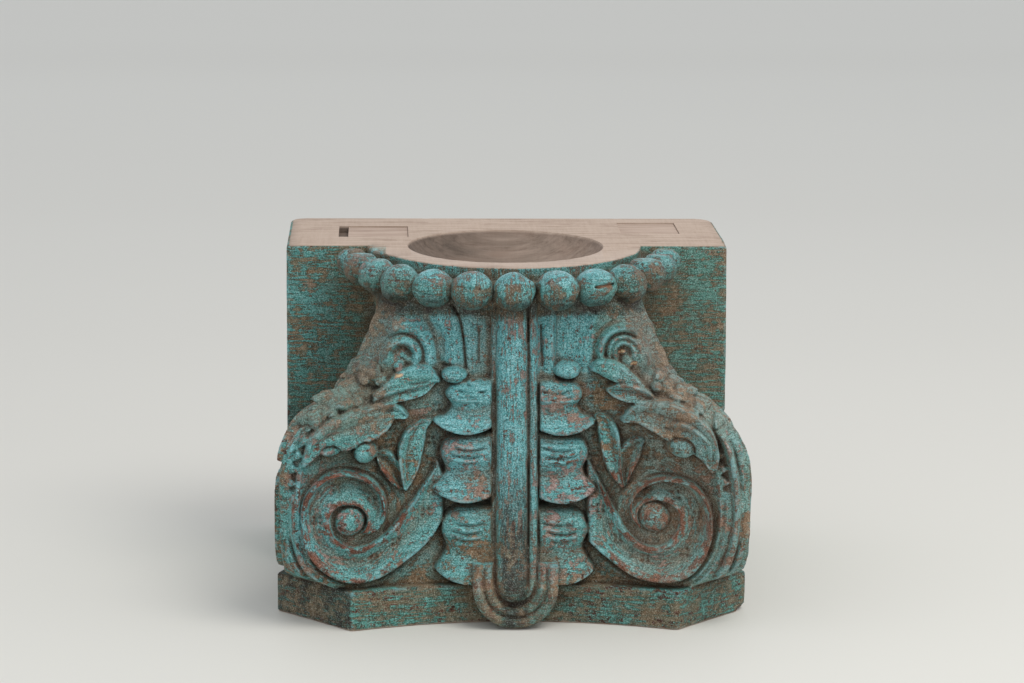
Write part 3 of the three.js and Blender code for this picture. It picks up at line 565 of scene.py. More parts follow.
# ------------------------------------------------------------------ the solid
def sample(table, ax0, ax1, p0, p1):
    """Bilinear look-up of a map on a grid of its two axes."""
    f0 = np.clip((p0 - ax0[0]) / FINE, 0, len(ax0) - 1.001)
    f1 = np.clip((p1 - ax1[0]) / FINE, 0, len(ax1) - 1.001)
    i, k = f0.astype(int), f1.astype(int)
    w0, w1 = (f0 - i)[:, None], (f1 - k)[None, :]
    return ((table[np.ix_(i, k)] * (1 - w0) + table[np.ix_(i + 1, k)] * w0) * (1 - w1)
            + (table[np.ix_(i, k + 1)] * (1 - w0) + table[np.ix_(i + 1, k + 1)] * w0) * w1)


def smax(a, b, k):
    """Larger of two fields with the corner between them rounded over about k mm."""
    h = np.clip(0.5 + 0.5 * (a - b) / k, 0, 1)
    return b + (a - b) * h + k * h * (1 - h)


def smin(a, b, k):
    return -smax(-a, -b, k)


# scoops knocked out of edges: x, y, z, radius
CHIPS = [
    (-171, -112, -3, 7), (-150, -143, 1, 5), (-128, -152, -2, 6), (-96, -144, 30, 3.5), (-60, -138, -2, 4.5),
    (126, -151, -2, 5), (171, -98, -2, 8), (173, -60, 3, 9), (158, -121, 29.5, 3), (95, -140, 31, 3), (148, -134, -2, 4.5),
    (-168, 22, 251, 4), (-168, 60, 252, 4), (-166, 18, 190, 3), (168, 19, 252, 5), (168, 24, 120, 4), (167, 40, 251, 4.5),
    (168, 90, 252, 4), (-60, 152, 252, 5), (90, 152, 251, 4), (0, 152, -2, 5), (-168, 100, -2, 5),
    (33, -149, 3, 3), (-27, -151, 2, 3),
]


def carved_solid(step):
    x, z, front, hx, su, sides, tongue, tongue_edge = front_maps()
    gx = np.arange(-172.6, 173.0, step)
    gz = np.arange(-1.6, 252.2, step)
    gy = np.concatenate([np.arange(-151.6, 24.0, step), np.arange(25.2, 149.0, 3.1), [149.2, 150.8]])
    X, Z = gx[:, None], gz[None, :]
    AX = np.abs(X)
    nx, nz = len(gx), len(gz)
    rng = np.random.default_rng(11)
    Ff = sample(front, x, z, gx, gz)
    Hx = sample(hx, x, z, gx, gz)
    # plain corner under the relief: the outline less what the crest and the strips stand out
    Cb = (corner_out(gz) - 3.0 - 4.5 * ease((gz - 128) / 14) * ease((190 - gz) / 20))[None, :]
    side_z = [sample(m[0], su, z, su, gz) for m in sides]
    sideh_z = [sample(m[1], su, z, su, gz) for m in sides]
    Tf = sample(tongue, x, z, gx, gz)
    Te = sample(tongue_edge, x, z, gx, gz)
    rough_f = 0.25 * lattice_noise((nx, nz), (40 / step, 14 / step), rng, 3)
    rough_t = 0.30 * lattice_noise((nx, len(gy)), (60 / step, 16 / step), rng, 3)
    rough_s = 0.30 * lattice_noise((len(gy), nz), (30 / step, 18 / step), rng, 3)
    rough_c = lattice_noise((nx, nz), (9 / step, 7 / step), rng, 3)
    D = np.empty((nx, len(gy), nz), np.float32)

    # beads: evenly spaced in front, closer and smaller where the ring runs into the block; each whittled to facets
    ang = np.radians([-80, -69, -56, -43.5, -29.5, -15, 0, 15, 30, 44.5, 57, 69, 80])
    beads = []
    for k, a in enumerate(ang):
        j = rng.uniform(-1, 1, 5)
        small = (1, 1, 1, 1, 0.94, 0.86, 0.78)[abs(k - 6)]
        lift = (0, 0, 0, 0, 2.0, 4.0, 5.0)[abs(k - 6)] + (1.5 if k == 10 else 0)
        n = rng.normal(size=(16, 3))
        n /= np.linalg.norm(n, axis=1)[:, None]
        beads.append((RING_R * np.sin(a) + 0.4 * j[0], -RING_R * np.cos(a) + AXIS_Y, BEAD_Z + lift + 0.45 * j[1],
                      (BEAD_R + 0.35 * j[2]) * small, (14.2 + 0.4 * j[3]) * small, a, n, rng.uniform(0.90, 0.97, 16)))

    for iy, y in enumerate(gy):
        q = AXIS_Y - y
        # plain block behind, its right edge worn rounder
        right_wear = 1.8 * ease((Z - 150) / 100) * (X > 0) * ease((60 - y) / 60)
        half = HALF - right_wear + 0.6 * rough_s[iy][None, :]
        rc = np.where(X < 0, 9.0, 14.0)
        px, py = AX - (half - rc), y - (BACK - rc)
        plan = np.where((px > 0) & (py > 0), np.hypot(np.maximum(px, 0), np.maximum(py, 0)) - rc, np.maximum(AX - half, y - BACK))
        fr = (AXIS_Y - y) + 0.5 * rough_f
        plan = smax(plan, fr, 2.6)
        top = Z - HEIGHT + 0.35 * np.abs(rough_t[:, iy][:, None]) + 0.9 * ease((AX - 150) / 16) ** 2
        d = smax(smax(plan, top, 2.8), -Z, 1.6)

        if q > -4:
            # abacus: concave sides, cut corners
            hollow_f = ABACUS_HOLLOW * np.clip(1 - (AX / ABACUS_FLAT) ** 2, 0, 1)
            hollow_s = ABACUS_HOLLOW * max(0.0, 1 - (q / ABACUS_FLAT) ** 2)
            wob = 0.5 * rough_c
            ab = smax(q - (EDGE - 0.3 - hollow_f) + wob * 0.8, AX - (EDGE - 0.3 - hollow_s) + 0.4 * rough_s[iy][None, :], 1.5)
            ab = smax(ab, (AX + q) / math.sqrt(2) - 202.9 + wob, 2.2)
            ab = smax(ab, Z - ABACUS_Z + 0.35 * rough_c, 2.2)
            ab = smax(ab, -Z, 2.0)
            ab = np.maximum(ab, -q - 3.5)
            d = np.minimum(d, ab)

            # bell: front and side carving, met by the horn's rounded corner
            i = min(max((q - su[0]) / FINE, 0), len(su) - 1.001)
            i0, w1 = int(i), i - int(i)
            sd = [t[i0] * (1 - w1) + t[i0 + 1] * w1 for t in side_z]
            sh_ = [t[i0] * (1 - w1) + t[i0 + 1] * w1 for t in sideh_z]
            s_ = np.where(X < 0, sd[0][None, :], sd[1][None, :])
            hd = np.where(AX < q, Hx, np.where(X < 0, sh_[0][None, :], sh_[1][None, :]))
            bell = smax(q - Ff, AX - s_, 0.8)
            bell = smax(bell, (AX + q) / math.sqrt(2) - Cb - 0.8 * hd, 1.4)
            bell = np.maximum(bell, np.maximum(20 - Z, Z - 229))
            bell = np.maximum(bell, -q - 3.5)
            d = np.minimum(d, bell)
            if q > 120:
                d = np.minimum(d, np.maximum(smax(q - Tf, Te, 1.2), -Z))

            # neck drum and plate under the top face
            r = np.hypot(X, q)
            drum = np.maximum(r - NECK_R + 9.5 * ease((227 - Z) / 17) + 0.4 * rough_c, np.abs(Z - 224) - 16.5)
            turn = np.degrees(np.arctan2(X, max(q, 0.01)))
            pr = PLATE_R + 8.0 * ease((-turn - 60) / 18) + 2.0 * ease((turn - 60) / 15)
            plate = smax(r - pr, np.abs(Z - 243.0) - 7.0 + 0.3 * np.abs(rough_c), 1.5)
            d = smin(d, np.maximum(drum, -q - 3.5), 3.0)
            d = np.minimum(d, np.maximum(plate, -q - 3.5))

            # beads of the necking
            for k, (bx, by, bz, br, bh, a, nn, nd) in enumerate(beads):
                if abs(y - by) < br + 3:
                    dx, dy, dz = X - bx, y - by, Z - bz
                    px_, py_, pz_ = dx / br, dy / br, dz / bh
                    m = np.sqrt(px_ * px_ + py_ * py_ + pz_ * pz_)
                    for (ax_, ay_, az_), lim in zip(nn, nd):
                        m = np.maximum(m, (px_ * ax_ + py_ * ay_ + pz_ * az_) / lim)
                    e = (m - 1) * bh + 0.35 * rough_c
                    along = dx * math.cos(a) + dy * math.sin(a)
                    if k == 8:      # a split across one bead
                        e = e + 3.4 * np.exp(-(((dz - 3.4 - 0.05 * along) / (0.4 + 1.1 * np.clip(1 - (along / 9) ** 2, 0, 1))) ** 2)) * (np.abs(along) < 9)
                    if k in (4, 5, 7):
                        e = e + 1.3 * np.exp(-(((dz + (1.5, -4, 0, 5)[k - 4] + 0.12 * along) / 0.7) ** 2)) * (np.abs(along) < 9)
                    d = smin(d, e, 1.0)
        d = np.maximum(d, np.maximum(AX - EDGE, np.maximum(q - EDGE, np.maximum(-Z, np.maximum(Z - HEIGHT, y - BACK)))))
        for cx, cy, cz, cr in CHIPS:
            if abs(y - cy) < cr:
                ball = cr - np.sqrt((X - cx) ** 2 + (y - cy) ** 2 + ((Z - cz) * 1.2) ** 2) + 0.8 * rough_c
                d = smax(d, ball, 0.8)
        D[:, iy, :] = d
    return D, gx, gy, gz


def close_pinches(D):
    """Fills cells whose corners touch only across a diagonal, so that the mesh is closed two-manifold."""
    for _ in range(6):
        inside = D < 0
        changed = 0
        for ax in ((0, 1), (0, 2), (1, 2)):
            s = [slice(None)] * 3

            def part(a, b):
                t = list(s)
                t[ax[0]] = slice(a, a - 1 if a else -1) if a else slice(0, -1)
                t[ax[1]] = slice(1, None) if b else slice(0, -1)
                if a:
                    t[ax[0]] = slice(1, None)
                return tuple(t)
            p00, p01, p10, p11 = (inside[part(a, b)] for a, b in ((0, 0), (0, 1), (1, 0), (1, 1)))
            bad1 = p00 & p11 & ~p01 & ~p10
            bad2 = p01 & p10 & ~p00 & ~p11
            n = int(bad1.sum() + bad2.sum())
            if n:
                changed += n
                v = D[part(0, 1)]
                v[bad1] = -0.02
                v = D[part(0, 0)]
                v[bad2] = -0.02
        if not changed:
            break
    return D


def surface_net(D, gx, gy, gz):
    """Closed quad mesh of the zero level: one vertex in each cell that the surface crosses."""
    inside = D < 0
    n = np.zeros(tuple(s - 1 for s in D.shape), np.uint8)
    for a in (0, 1):
        for b in (0, 1):
            for c in (0, 1):
                n += inside[a:a + n.shape[0], b:b + n.shape[1], c:c + n.shape[2]]
    act = (n > 0) & (n < 8)
    I, J, K = np.nonzero(act)
    idx = np.full(act.shape, -1, np.int32)
    idx[act] = np.arange(len(I), dtype=np.int32)
    pos = np.zeros((len(I), 3))
    cnt = np.zeros(len(I))
    for axis in range(3):
        for a in (0, 1):
            for b in (0, 1):
                o1 = [0, 0, 0]
                others = [t for t in range(3) if t != axis]
                o1[others[0]], o1[others[1]] = a, b
                o2 = list(o1)
                o2[axis] = 1
                d1 = D[I + o1[0], J + o1[1], K + o1[2]].astype(float)
                d2 = D[I + o2[0], J + o2[1], K + o2[2]].astype(float)
                m = (d1 < 0) != (d2 < 0)
                t = d1[m] / (d1[m] - d2[m])
                p = np.tile(np.array(o1, float), (m.sum(), 1))
                p[:, axis] += t
                pos[m] += p
                cnt[m] += 1
    pos /= cnt[:, None]
    out = np.empty_like(pos)
    for axis, (g, base) in enumerate(((gx, I), (gy, J), (gz, K))):
        out[:, axis] = g[base] + pos[:, axis] * (g[base + 1] - g[base])
    quads = []
    for axis in range(3):
        u, v = [(1, 2), (2, 0), (0, 1)][axis]
        sl1 = [slice(1, -1)] * 3
        sl2 = [slice(1, -1)] * 3
        sl1[axis], sl2[axis] = slice(0, -1), slice(1, None)
        s1, s2 = inside[tuple(sl1)], inside[tuple(sl2)]
        A = np.nonzero(s1 != s2)
        out_dir = s1[A]
        base = [a.copy() for a in A]
        for t in range(3):
            if t != axis:
                base[t] += 1

        def cell(du, dv):
            c = [b.copy() for b in base]
            c[u] -= 1 - du
            c[v] -= 1 - dv
            return idx[c[0], c[1], c[2]]
        q = np.stack([cell(0, 0), cell(1, 0), cell(1, 1), cell(0, 1)], 1)
        q[~out_dir] = q[~out_dir][:, ::-1]
        quads.append(q)
    return out, np.concatenate(quads)


def mesh_from(name, verts, faces):
    me = bpy.data.meshes.new(name)
    me.vertices.add(len(verts))
    me.vertices.foreach_set("co", np.asarray(verts, np.float32).ravel())
    k = faces.shape[1]
    me.loops.add(faces.size)
    me.loops.foreach_set("vertex_index", faces.astype(np.int32).ravel())
    me.polygons.add(len(faces))
    me.polygons.foreach_set("loop_start", np.arange(0, faces.size, k, dtype=np.int32))
    me.update(calc_edges=True)
    me.validate()
    o = bpy.data.objects.new(name, me)
    bpy.context.scene.collection.objects.link(o)
    return o


def apply_modifiers(o):
    dg = bpy.context.evaluated_depsgraph_get()
    me = bpy.data.meshes.new_from_object(o.evaluated_get(dg))
    old = o.data
    o.modifiers.clear()
    o.data = me
    bpy.data.meshes.remove(old)
    return o


def box_mesh(name, lo, hi):
    v = np.array([(x, y, z) for x in (lo[0], hi[0]) for y in (lo[1], hi[1]) for z in (lo[2], hi[2])], float)
    f = np.array([(0, 1, 3, 2), (4, 6, 7, 5), (0, 4, 5, 1), (2, 3, 7, 6), (0, 2, 6, 4), (1, 5, 7, 3)])
    return mesh_from(name, v, f)


def lathe(name, profile, cx, cy, seg):
    """Closed turned solid from (radius, z) pairs, axis end to axis end, a little out of true as hand turning is."""
    a = np.linspace(0, 2 * np.pi, seg, endpoint=False)
    rings = profile[1:-1]
    v = [(cx, cy, profile[0][1])]
    for r, zz in rings:
        w = r * (1 + 0.004 * np.sin(3 * a + 1.0) + 0.003 * np.sin(5 * a))
        v += list(zip(cx + w * np.cos(a), cy + w * np.sin(a), np.full(seg, zz)))
    v.append((cx, cy, profile[-1][1]))
    f = []
    for j in range(seg):
        k = (j + 1) % seg
        f.append((0, 1 + k, 1 + j))
        for i in range(len(rings) - 1):
            p, q = 1 + i * seg, 1 + (i + 1) * seg
            f.append((p + j, p + k, q + k))
            f.append((p + j, q + k, q + j))
        e = 1 + (len(rings) - 1) * seg
        f.append((len(v) - 1, e + j, e + k))
    return mesh_from(name, np.array(v, float), np.array(f))


def cut(o, tool):
    n0 = len(o.data.polygons)
    for solver in ("MANIFOLD", "EXACT"):
        m = o.modifiers.new("cut", "BOOLEAN")
        m.operation, m.object, m.solver = "DIFFERENCE", tool, solver
        dg = bpy.context.evaluated_depsgraph_get()
        me = bpy.data.meshes.new_from_object(o.evaluated_get(dg))
        o.modifiers.clear()
        if len(me.polygons) > 0.5 * n0 and len(me.polygons) != n0:
            old = o.data
            o.data = me
            bpy.data.meshes.remove(old)
            break
        print("solver", solver, "left", len(me.polygons), "of", n0)
        bpy.data.meshes.remove(me)
    bpy.data.objects.remove(tool)


def depth_marks(o, D, gx, gy, gz):
    """How enclosed each vertex lies, at three reaches: 0.5 on a flat face, more in a hollow, less on an edge."""
    st = 2
    occ = (D[::st, :, ::st] < 0).astype(np.float32)
    ys = np.arange(gy[0], gy[-1], (gx[1] - gx[0]) * st)
    iy = np.clip(np.searchsorted(gy, ys), 0, len(gy) - 1)
    # soften the half-filled cells first, so that the marks don't show the grid
    occ = np.clip(0.5 - D[::st, :, ::st][:, iy, :] / 2.2, 0, 1).astype(np.float32)
    cell = (gx[1] - gx[0]) * st
    co = np.empty(len(o.data.vertices) * 3)
    o.data.vertices.foreach_get("co", co)
    co = co.reshape(-1, 3)
    f = np.stack([(co[:, 0] - gx[0]) / cell, (co[:, 1] - ys[0]) / cell, (co[:, 2] - gz[0]) / cell], 1)
    f = np.clip(f, 0, np.array(occ.shape) - 1.001)
    i = f.astype(int)
    w = f - i
    marks = {}
    for name, reach in (("fine", 1.9), ("mid", 4.5), ("deep", 11.0)):
        v = occ
        s = reach / cell
        r = int(math.ceil(2.3 * s))
        k = np.exp(-0.5 * (np.arange(-r, r + 1) / s) ** 2)
        k = (k / k.sum()).astype(np.float32)
        for axis in range(3):
            pad = [(r, r) if t == axis else (0, 0) for t in range(3)]
            mode = "constant"
            p = np.pad(v, pad, mode=mode)
            n = v.shape[axis]
            acc = np.zeros_like(v)
            for j, wt in enumerate(k):
                sl = [slice(None)] * 3
                sl[axis] = slice(j, j + n)
                acc += wt * p[tuple(sl)]
            v = acc
        val = 0
        for a in (0, 1):
            for b in (0, 1):
                for c in (0, 1):
                    ww = (w[:, 0] if a else 1 - w[:, 0]) * (w[:, 1] if b else 1 - w[:, 1]) * (w[:, 2] if c else 1 - w[:, 2])
                    val = val + ww * v[i[:, 0] + a, i[:, 1] + b, i[:, 2] + c]
        marks[name] = val
    return co, marks


def set_mark(o, name, values):
    at = o.data.attributes.new(name, "FLOAT", "POINT")
    at.data.foreach_set("value", np.asarray(values, np.float32))


def build_carving():
    step = STEP
    D, gx, gy, gz = carved_solid(step)
    D = close_pinches(D)
    verts, quads = surface_net(D, gx, gy, gz)
    print("net", len(verts), len(quads))
    tri = np.concatenate([quads[:, [0, 1, 2]], quads[:, [0, 2, 3]]])
    o = mesh_from("carved_capital", verts, tri)
    # back and sides are plainer and get a weight for thinning, but at a factor of 0 it has no effect and the whole mesh
    # is thinned evenly
    co = verts
    plain = np.clip((co[:, 1] + 60) / 100, 0, 1)
    g = o.vertex_groups.new(name="plain")
    for lo in np.linspace(0, 1, 11):
        sel = np.nonzero(np.rint(plain * 10) / 10 == np.rint(lo * 10) / 10)[0]
        g.add(sel.tolist(), float(lo), "REPLACE")
    m = o.modifiers.new("thin", "DECIMATE")
    m.decimate_type = "COLLAPSE"
    target = 188000
    m.ratio = min(1.0, target / len(tri))
    m.vertex_group = "plain"
    m.vertex_group_factor = 0.0
    m.use_collapse_triangulate = True
    o = apply_modifiers(o)
    o.vertex_groups.clear()
    print("thinned", len(o.data.polygons))

    cx, cy, cr = DISH
    prof = [(0, 228.0), (22, 228.0), (40, 228.1), (44, 228.6), (53, 231.4), (61, 235.8), (67, 240.6), (70.8, 245.0),
            (72.4, 247.8), (73.3, 249.7), (73.8, 250.6), (74.4, 252.5), (74.4, 256), (0, 256)]
    cut(o, lathe("dish_cut", prof, cx, cy, 144))
    cut(o, box_mesh("mortise_left", (-120.5, 57, 220), (-74.5, 108, 256)))
    cut(o, box_mesh("mortise_open", (-127.5, 57.5, 245), (-119.5, 107.5, 256)))
    cut(o, box_mesh("mortise_right", (89, 74, 220), (134, 126, 256)))
    print("cut", len(o.data.polygons))
    return o, (D, gx, gy, gz)


# ------------------------------------------------------------------ materials
def srgb(r, g, b):
    f = lambda c: (c / 255 / 12.92) if c / 255 <= 0.04045 else ((c / 255 + 0.055) / 1.055) ** 2.4
    return (f(r), f(g), f(b), 1.0)


SCROLL_X = (-0.1173, 0.0999)       # the two scroll eyes


class Nodes:
    """Short names for building a node material."""

    def __init__(self, name):
        self.mat = bpy.data.materials.new(name)
        self.mat.use_nodes = True
        self.nt = self.mat.node_tree
        self.bsdf = self.nt.nodes["Principled BSDF"]
        self.pos = self.new("ShaderNodeTexCoord").outputs["Object"]

    def new(self, kind, **props):
        n = self.nt.nodes.new(kind)
        for k, v in props.items():
            setattr(n, k, v)
        return n

    def put(self, sock, v):
        if isinstance(v, bpy.types.NodeSocket):
            self.nt.links.new(v, sock)
        else:
            sock.default_value = v

    def math(self, op, a, b=0.0, c=None, clamp=False):
        n = self.new("ShaderNodeMath", operation=op, use_clamp=clamp)
        self.put(n.inputs[0], a)
        self.put(n.inputs[1], b)
        if c is not None:
            self.put(n.inputs[2], c)
        return n.outputs[0]

    def scaled(self, sx, sy, sz, src=None, rot=(0, 0, 0), loc=(0, 0, 0)):
        n = self.new("ShaderNodeMapping")
        self.put(n.inputs["Vector"], src or self.pos)
        n.inputs["Scale"].default_value = (sx, sy, sz)
        n.inputs["Rotation"].default_value = rot
        n.inputs["Location"].default_value = loc
        return n.outputs[0]

    def noise(self, vec, scale=1.0, detail=3.0, rough=0.55, warp=0.0):
        n = self.new("ShaderNodeTexNoise")
        self.put(n.inputs["Vector"], vec)
        n.inputs["Scale"].default_value = scale
        n.inputs["Detail"].default_value = detail
        n.inputs["Roughness"].default_value = rough
        n.inputs["Distortion"].default_value = warp
        return n.outputs[0]

    def voronoi(self, vec, scale, feature="F1", out="Distance", rand=1.0):
        n = self.new("ShaderNodeTexVoronoi", feature=feature)
        self.put(n.inputs["Vector"], vec)
        n.inputs["Scale"].default_value = scale
        n.inputs["Randomness"].default_value = rand
        return n.outputs[out]

    def step(self, v, lo, hi, a=0.0, b=1.0):
        n = self.new("ShaderNodeMapRange", interpolation_type="SMOOTHSTEP")
        self.put(n.inputs["Value"], v)
        n.inputs["From Min"].default_value = lo
        n.inputs["From Max"].default_value = hi
        n.inputs["To Min"].default_value = a
        n.inputs["To Max"].default_value = b
        return n.outputs[0]

    def mix(self, fac, a, b, mode="MIX"):
        n = self.new("ShaderNodeMix", data_type="RGBA", blend_type=mode)
        self.put(n.inputs[0], fac)
        self.put(n.inputs[6], a)
        self.put(n.inputs[7], b)
        return n.outputs[2]

    def ramp(self, fac, stops):
        n = self.new("ShaderNodeValToRGB")
        self.put(n.inputs[0], fac)
        el = n.color_ramp.elements
        while len(el) < len(stops):
            el.new(0.5)
        for e, (p, c) in zip(el, stops):
            e.position, e.color = p, c
        return n.outputs[0]

    def attr(self, name):
        n = self.new("ShaderNodeAttribute", attribute_name=name)
        return n.outputs["Fac"]

    def bump(self, height, dist, strength=1.0, normal=None):
        n = self.new("ShaderNodeBump")
        n.inputs["Strength"].default_value = strength
        n.inputs["Distance"].default_value = dist
        self.put(n.inputs["Height"], height)
        if normal is not None:
            self.put(n.inputs["Normal"], normal)
        return n.outputs[0]

    def xyz(self):
        n = self.new("ShaderNodeSeparateXYZ")
        self.put(n.inputs[0], self.pos)
        return n.outputs


def painted_wood():
    N = Nodes("worn_turquoise_paint")
    fine, mid, deep = N.attr("fine"), N.attr("mid"), N.attr("deep")
    coat_tone_and_highlight, bare, vert = N.attr("coat_tone_and_highlight"), N.attr("bare"), N.attr("vert")
    worn, brush, ring, raw, soot_and_shade = (N.attr(k) for k in ("worn", "brush", "ring", "raw", "soot_and_shade"))
    x, y, z = N.xyz()
    add = lambda a, b: N.math("ADD", a, b)
    sub = lambda a, b: N.math("SUBTRACT", a, b)
    mul = lambda a, b: N.math("MULTIPLY", a, b)
    off = lambda a, k: mul(sub(a, 0.5), k)
    total = lambda first, *rest: first if not rest else total(add(first, rest[0]), *rest[1:])
    # fields: rough blotches, broad patches, grit, brush and grain streaks
    blot = N.noise(N.pos, 150, 7.0, 0.74, 0.3)
    patch = N.noise(N.pos, 46, 6.0, 0.66, 0.6)
    broad = N.noise(N.pos, 11, 3.0, 0.5)
    grit = N.noise(N.pos, 1150, 3.0, 0.75)
    fleck = N.noise(N.scaled(1, 1, 1, loc=(3.1, 1.7, 0.4)), 260, 5.0, 0.7)
    lie = N.noise(N.scaled(45, 90, 620), 1.0, 5.0, 0.7, 0.3)
    stand = N.noise(N.scaled(620, 90, 45), 1.0, 5.0, 0.7, 0.3)
    # round each scroll's eye the strokes follow the band
    on_left = N.math("LESS_THAN", x, 0.0)
    dx = add(sub(x, SCROLL_X[1]), mul(on_left, SCROLL_X[1] - SCROLL_X[0]))
    dz = sub(z, 0.0777)
    reach = N.math("SQRT", add(mul(dx, dx), mul(dz, dz)))
    swing = N.math("ABSOLUTE", N.math("ARCTAN2", dz, dx))
    curve = N.new("ShaderNodeCombineXYZ")
    N.put(curve.inputs[0], mul(reach, 560))
    N.put(curve.inputs[1], mul(swing, 2.6))
    N.put(curve.inputs[2], mul(y, 60))
    bent = N.noise(curve.outputs[0], 1.0, 5.0, 0.7, 0.3)
    level = sub(1.0, N.math("MAXIMUM", vert, ring))
    streak = add(add(mul(lie, level), mul(stand, vert)), mul(bent, ring))
    # red-brown wood with its grain along x
    grain = N.noise(N.scaled(16, 80, 520), 1.0, 6.0, 0.65, 0.4)
    wood = N.ramp(add(mul(grain, 0.7), mul(grit, 0.3)), [(0.32, srgb(40, 27, 20)), (0.48, srgb(76, 46, 34)), (0.60, srgb(112, 68, 50)), (0.70, srgb(144, 94, 70))])
    # undercoat: warm grey brown in shelter, mauve grey where it is rubbed
    tint = total(off(fleck, 0.6), off(grit, 0.80), 0.5)
    brown = N.ramp(tint, [(0.34, srgb(86, 62, 42)), (0.50, srgb(134, 104, 76)), (0.66, srgb(168, 138, 108))])
    mauve = N.ramp(tint, [(0.34, srgb(108, 84, 76)), (0.50, srgb(158, 130, 124)), (0.66, srgb(192, 170, 168))])
    under = N.mix(N.step(add(coat_tone_and_highlight, off(broad, 2.0)), 0.30, 0.80), brown, mauve)
    shine = N.attr("shine")
    under = N.mix(mul(shine, 0.50), under, srgb(80, 62, 48))
    # a thin wash of the coat still stains it, most on the flat faces
    wash = N.math("MULTIPLY", add(add(0.26, mul(brush, 0.22)), add(off(patch, 1.5), off(streak, 1.0))), 1.0, clamp=True)
    stained = N.ramp(tint, [(0.34, srgb(44, 74, 62)), (0.50, srgb(76, 116, 102)), (0.66, srgb(104, 146, 134))])
    under = N.mix(wash, under, stained)
    # top coat: blue turquoise where it is fresh and in the painted highlight on the beads' tops, greener and duller
    # elsewhere
    tone = total(add(off(patch, 0.5), 0.5), off(streak, 0.55), off(grit, 1.30), off(blot, 0.35))
    fresh = N.ramp(tone, [(0.30, srgb(46, 108, 108)), (0.46, srgb(78, 150, 154)), (0.58, srgb(112, 186, 194)), (0.72, srgb(160, 216, 224))])
    dull = N.ramp(tone, [(0.30, srgb(34, 80, 68)), (0.47, srgb(60, 124, 111)), (0.60, srgb(86, 156, 146)), (0.74, srgb(116, 184, 178))])
    paint = N.mix(coat_tone_and_highlight, dull, fresh)
    # how much of it is left
    keep = total(add(off(blot, 0.40), 0.5), mul(sub(streak, 0.5), total(mul(brush, 0.34), 0.12, mul(N.math("MAXIMUM", vert, ring), 0.14))), mul(sub(patch, 0.5), add(mul(brush, 0.08), 0.24)), off(broad, 0.16), off(grit, 0.10))
    keep = add(keep, off(coat_tone_and_highlight, 0.030))
    # convex edges, where the paint wears and where a painted highlight is laid
    edge_wear_and_highlight = mul(N.step(fine, 0.44, 0.30), sub(1.0, mul(shine, 0.85)))
    keep = sub(keep, add(mul(edge_wear_and_highlight, 0.020), mul(worn, 0.034)))
    col = N.mix(N.step(keep, 0.462, 0.494), under, paint)
    # edges: some carry a painted highlight, a light turquoise line, others are worn through to the wood
    side_a = add(N.noise(N.scaled(1, 1, 1, loc=(7.3, 2.2, 5.1)), 105, 5.0, 0.66), sub(mul(coat_tone_and_highlight, 0.07), mul(ring, 0.10)))
    col = N.mix(mul(mul(edge_wear_and_highlight, N.step(side_a, 0.49, 0.57)), 0.62), col, srgb(128, 196, 202))
    col = N.mix(mul(mul(edge_wear_and_highlight, N.step(side_a, 0.49, 0.42)), add(0.60, mul(ring, 0.3))), col, wood)
    rim = mul(mul(N.step(mid, 0.445, 0.385), ring), N.step(add(mul(side_a, 0.5), mul(blot, 0.5)), 0.49, 0.45))
    col = N.mix(mul(rim, 0.80), col, N.ramp(tint, [(0.36, srgb(66, 38, 28)), (0.62, srgb(150, 84, 58))]))
    flake = N.noise(N.scaled(60, 60, 200, loc=(0.5, 0.2, 0.9)), 1.0, 5.0, 0.65, 0.6)
    flake = N.math('ADD', mul(flake, sub(1.0, vert)), mul(N.noise(N.scaled(260, 90, 55, loc=(0.8, 0.1, 0.3)), 1.0, 5.0, 0.65, 0.6), vert))
    chip = total(mul(fleck, 0.42), mul(blot, 0.2), mul(flake, 0.38), mul(vert, 0.012))
    chip = add(chip, add(mul(edge_wear_and_highlight, 0.020), mul(worn, 0.036)))
    bare_wood = N.step(chip, 0.566, 0.592)
    col = N.mix(bare_wood, col, wood)
    # the coat has cracked along the grain here and there
    cells = N.new("ShaderNodeVectorMath", operation="ADD")
    N.put(cells.inputs[0], N.scaled(230, 230, 400))
    sway = N.new("ShaderNodeCombineXYZ")
    N.put(sway.inputs[0], off(fleck, 1.6))
    N.put(sway.inputs[2], off(blot, 2.2))
    N.put(cells.inputs[1], sway.outputs[0])
    crackle = mul(N.step(N.voronoi(cells.outputs[0], 1.0, feature="DISTANCE_TO_EDGE"), 0.075, 0.02), N.step(add(patch, mul(off(blot, 0.5), 1.0)), 0.47, 0.56))
    col = N.mix(mul(crackle, 0.50), col, srgb(46, 34, 26))
    # dirt and painted shade: a thin brown film over all, thick in the hollows, and painted shade near black in the
    # creases and punched dots
    gn = off(N.noise(N.pos, 75, 5.0, 0.65), 1.0)
    grime_and_shade_veil = N.step(add(deep, mul(gn, 0.30)), 0.42, 0.66)
    grime_and_shade_pack = N.step(add(mid, mul(gn, 0.20)), 0.50, 0.68)
    # painted shade in the creases and dots, set by the finest enclosure mark
    crease_shade = N.step(fine, 0.56, 0.74)
    grime_shade_color = N.ramp(tint, [(0.32, srgb(58, 44, 27)), (0.50, srgb(98, 78, 51)), (0.68, srgb(134, 110, 78))])
    col = N.mix(add(mul(grime_and_shade_veil, 0.42), 0.05), col, grime_shade_color)
    col = N.mix(mul(grime_and_shade_pack, 0.62), col, grime_shade_color)
    col = N.mix(mul(crease_shade, 0.62), col, srgb(44, 32, 23))
    col = N.mix(mul(N.attr("dusty"), add(0.55, off(blot, 1.0))), col, N.ramp(tint, [(0.34, srgb(92, 90, 78)), (0.66, srgb(146, 140, 124))]))
    warm = N.ramp(tint, [(0.34, srgb(124, 88, 66)), (0.66, srgb(196, 162, 138))])
    col = N.mix(mul(N.attr("warm"), add(0.34, off(blot, 1.2))), col, warm)
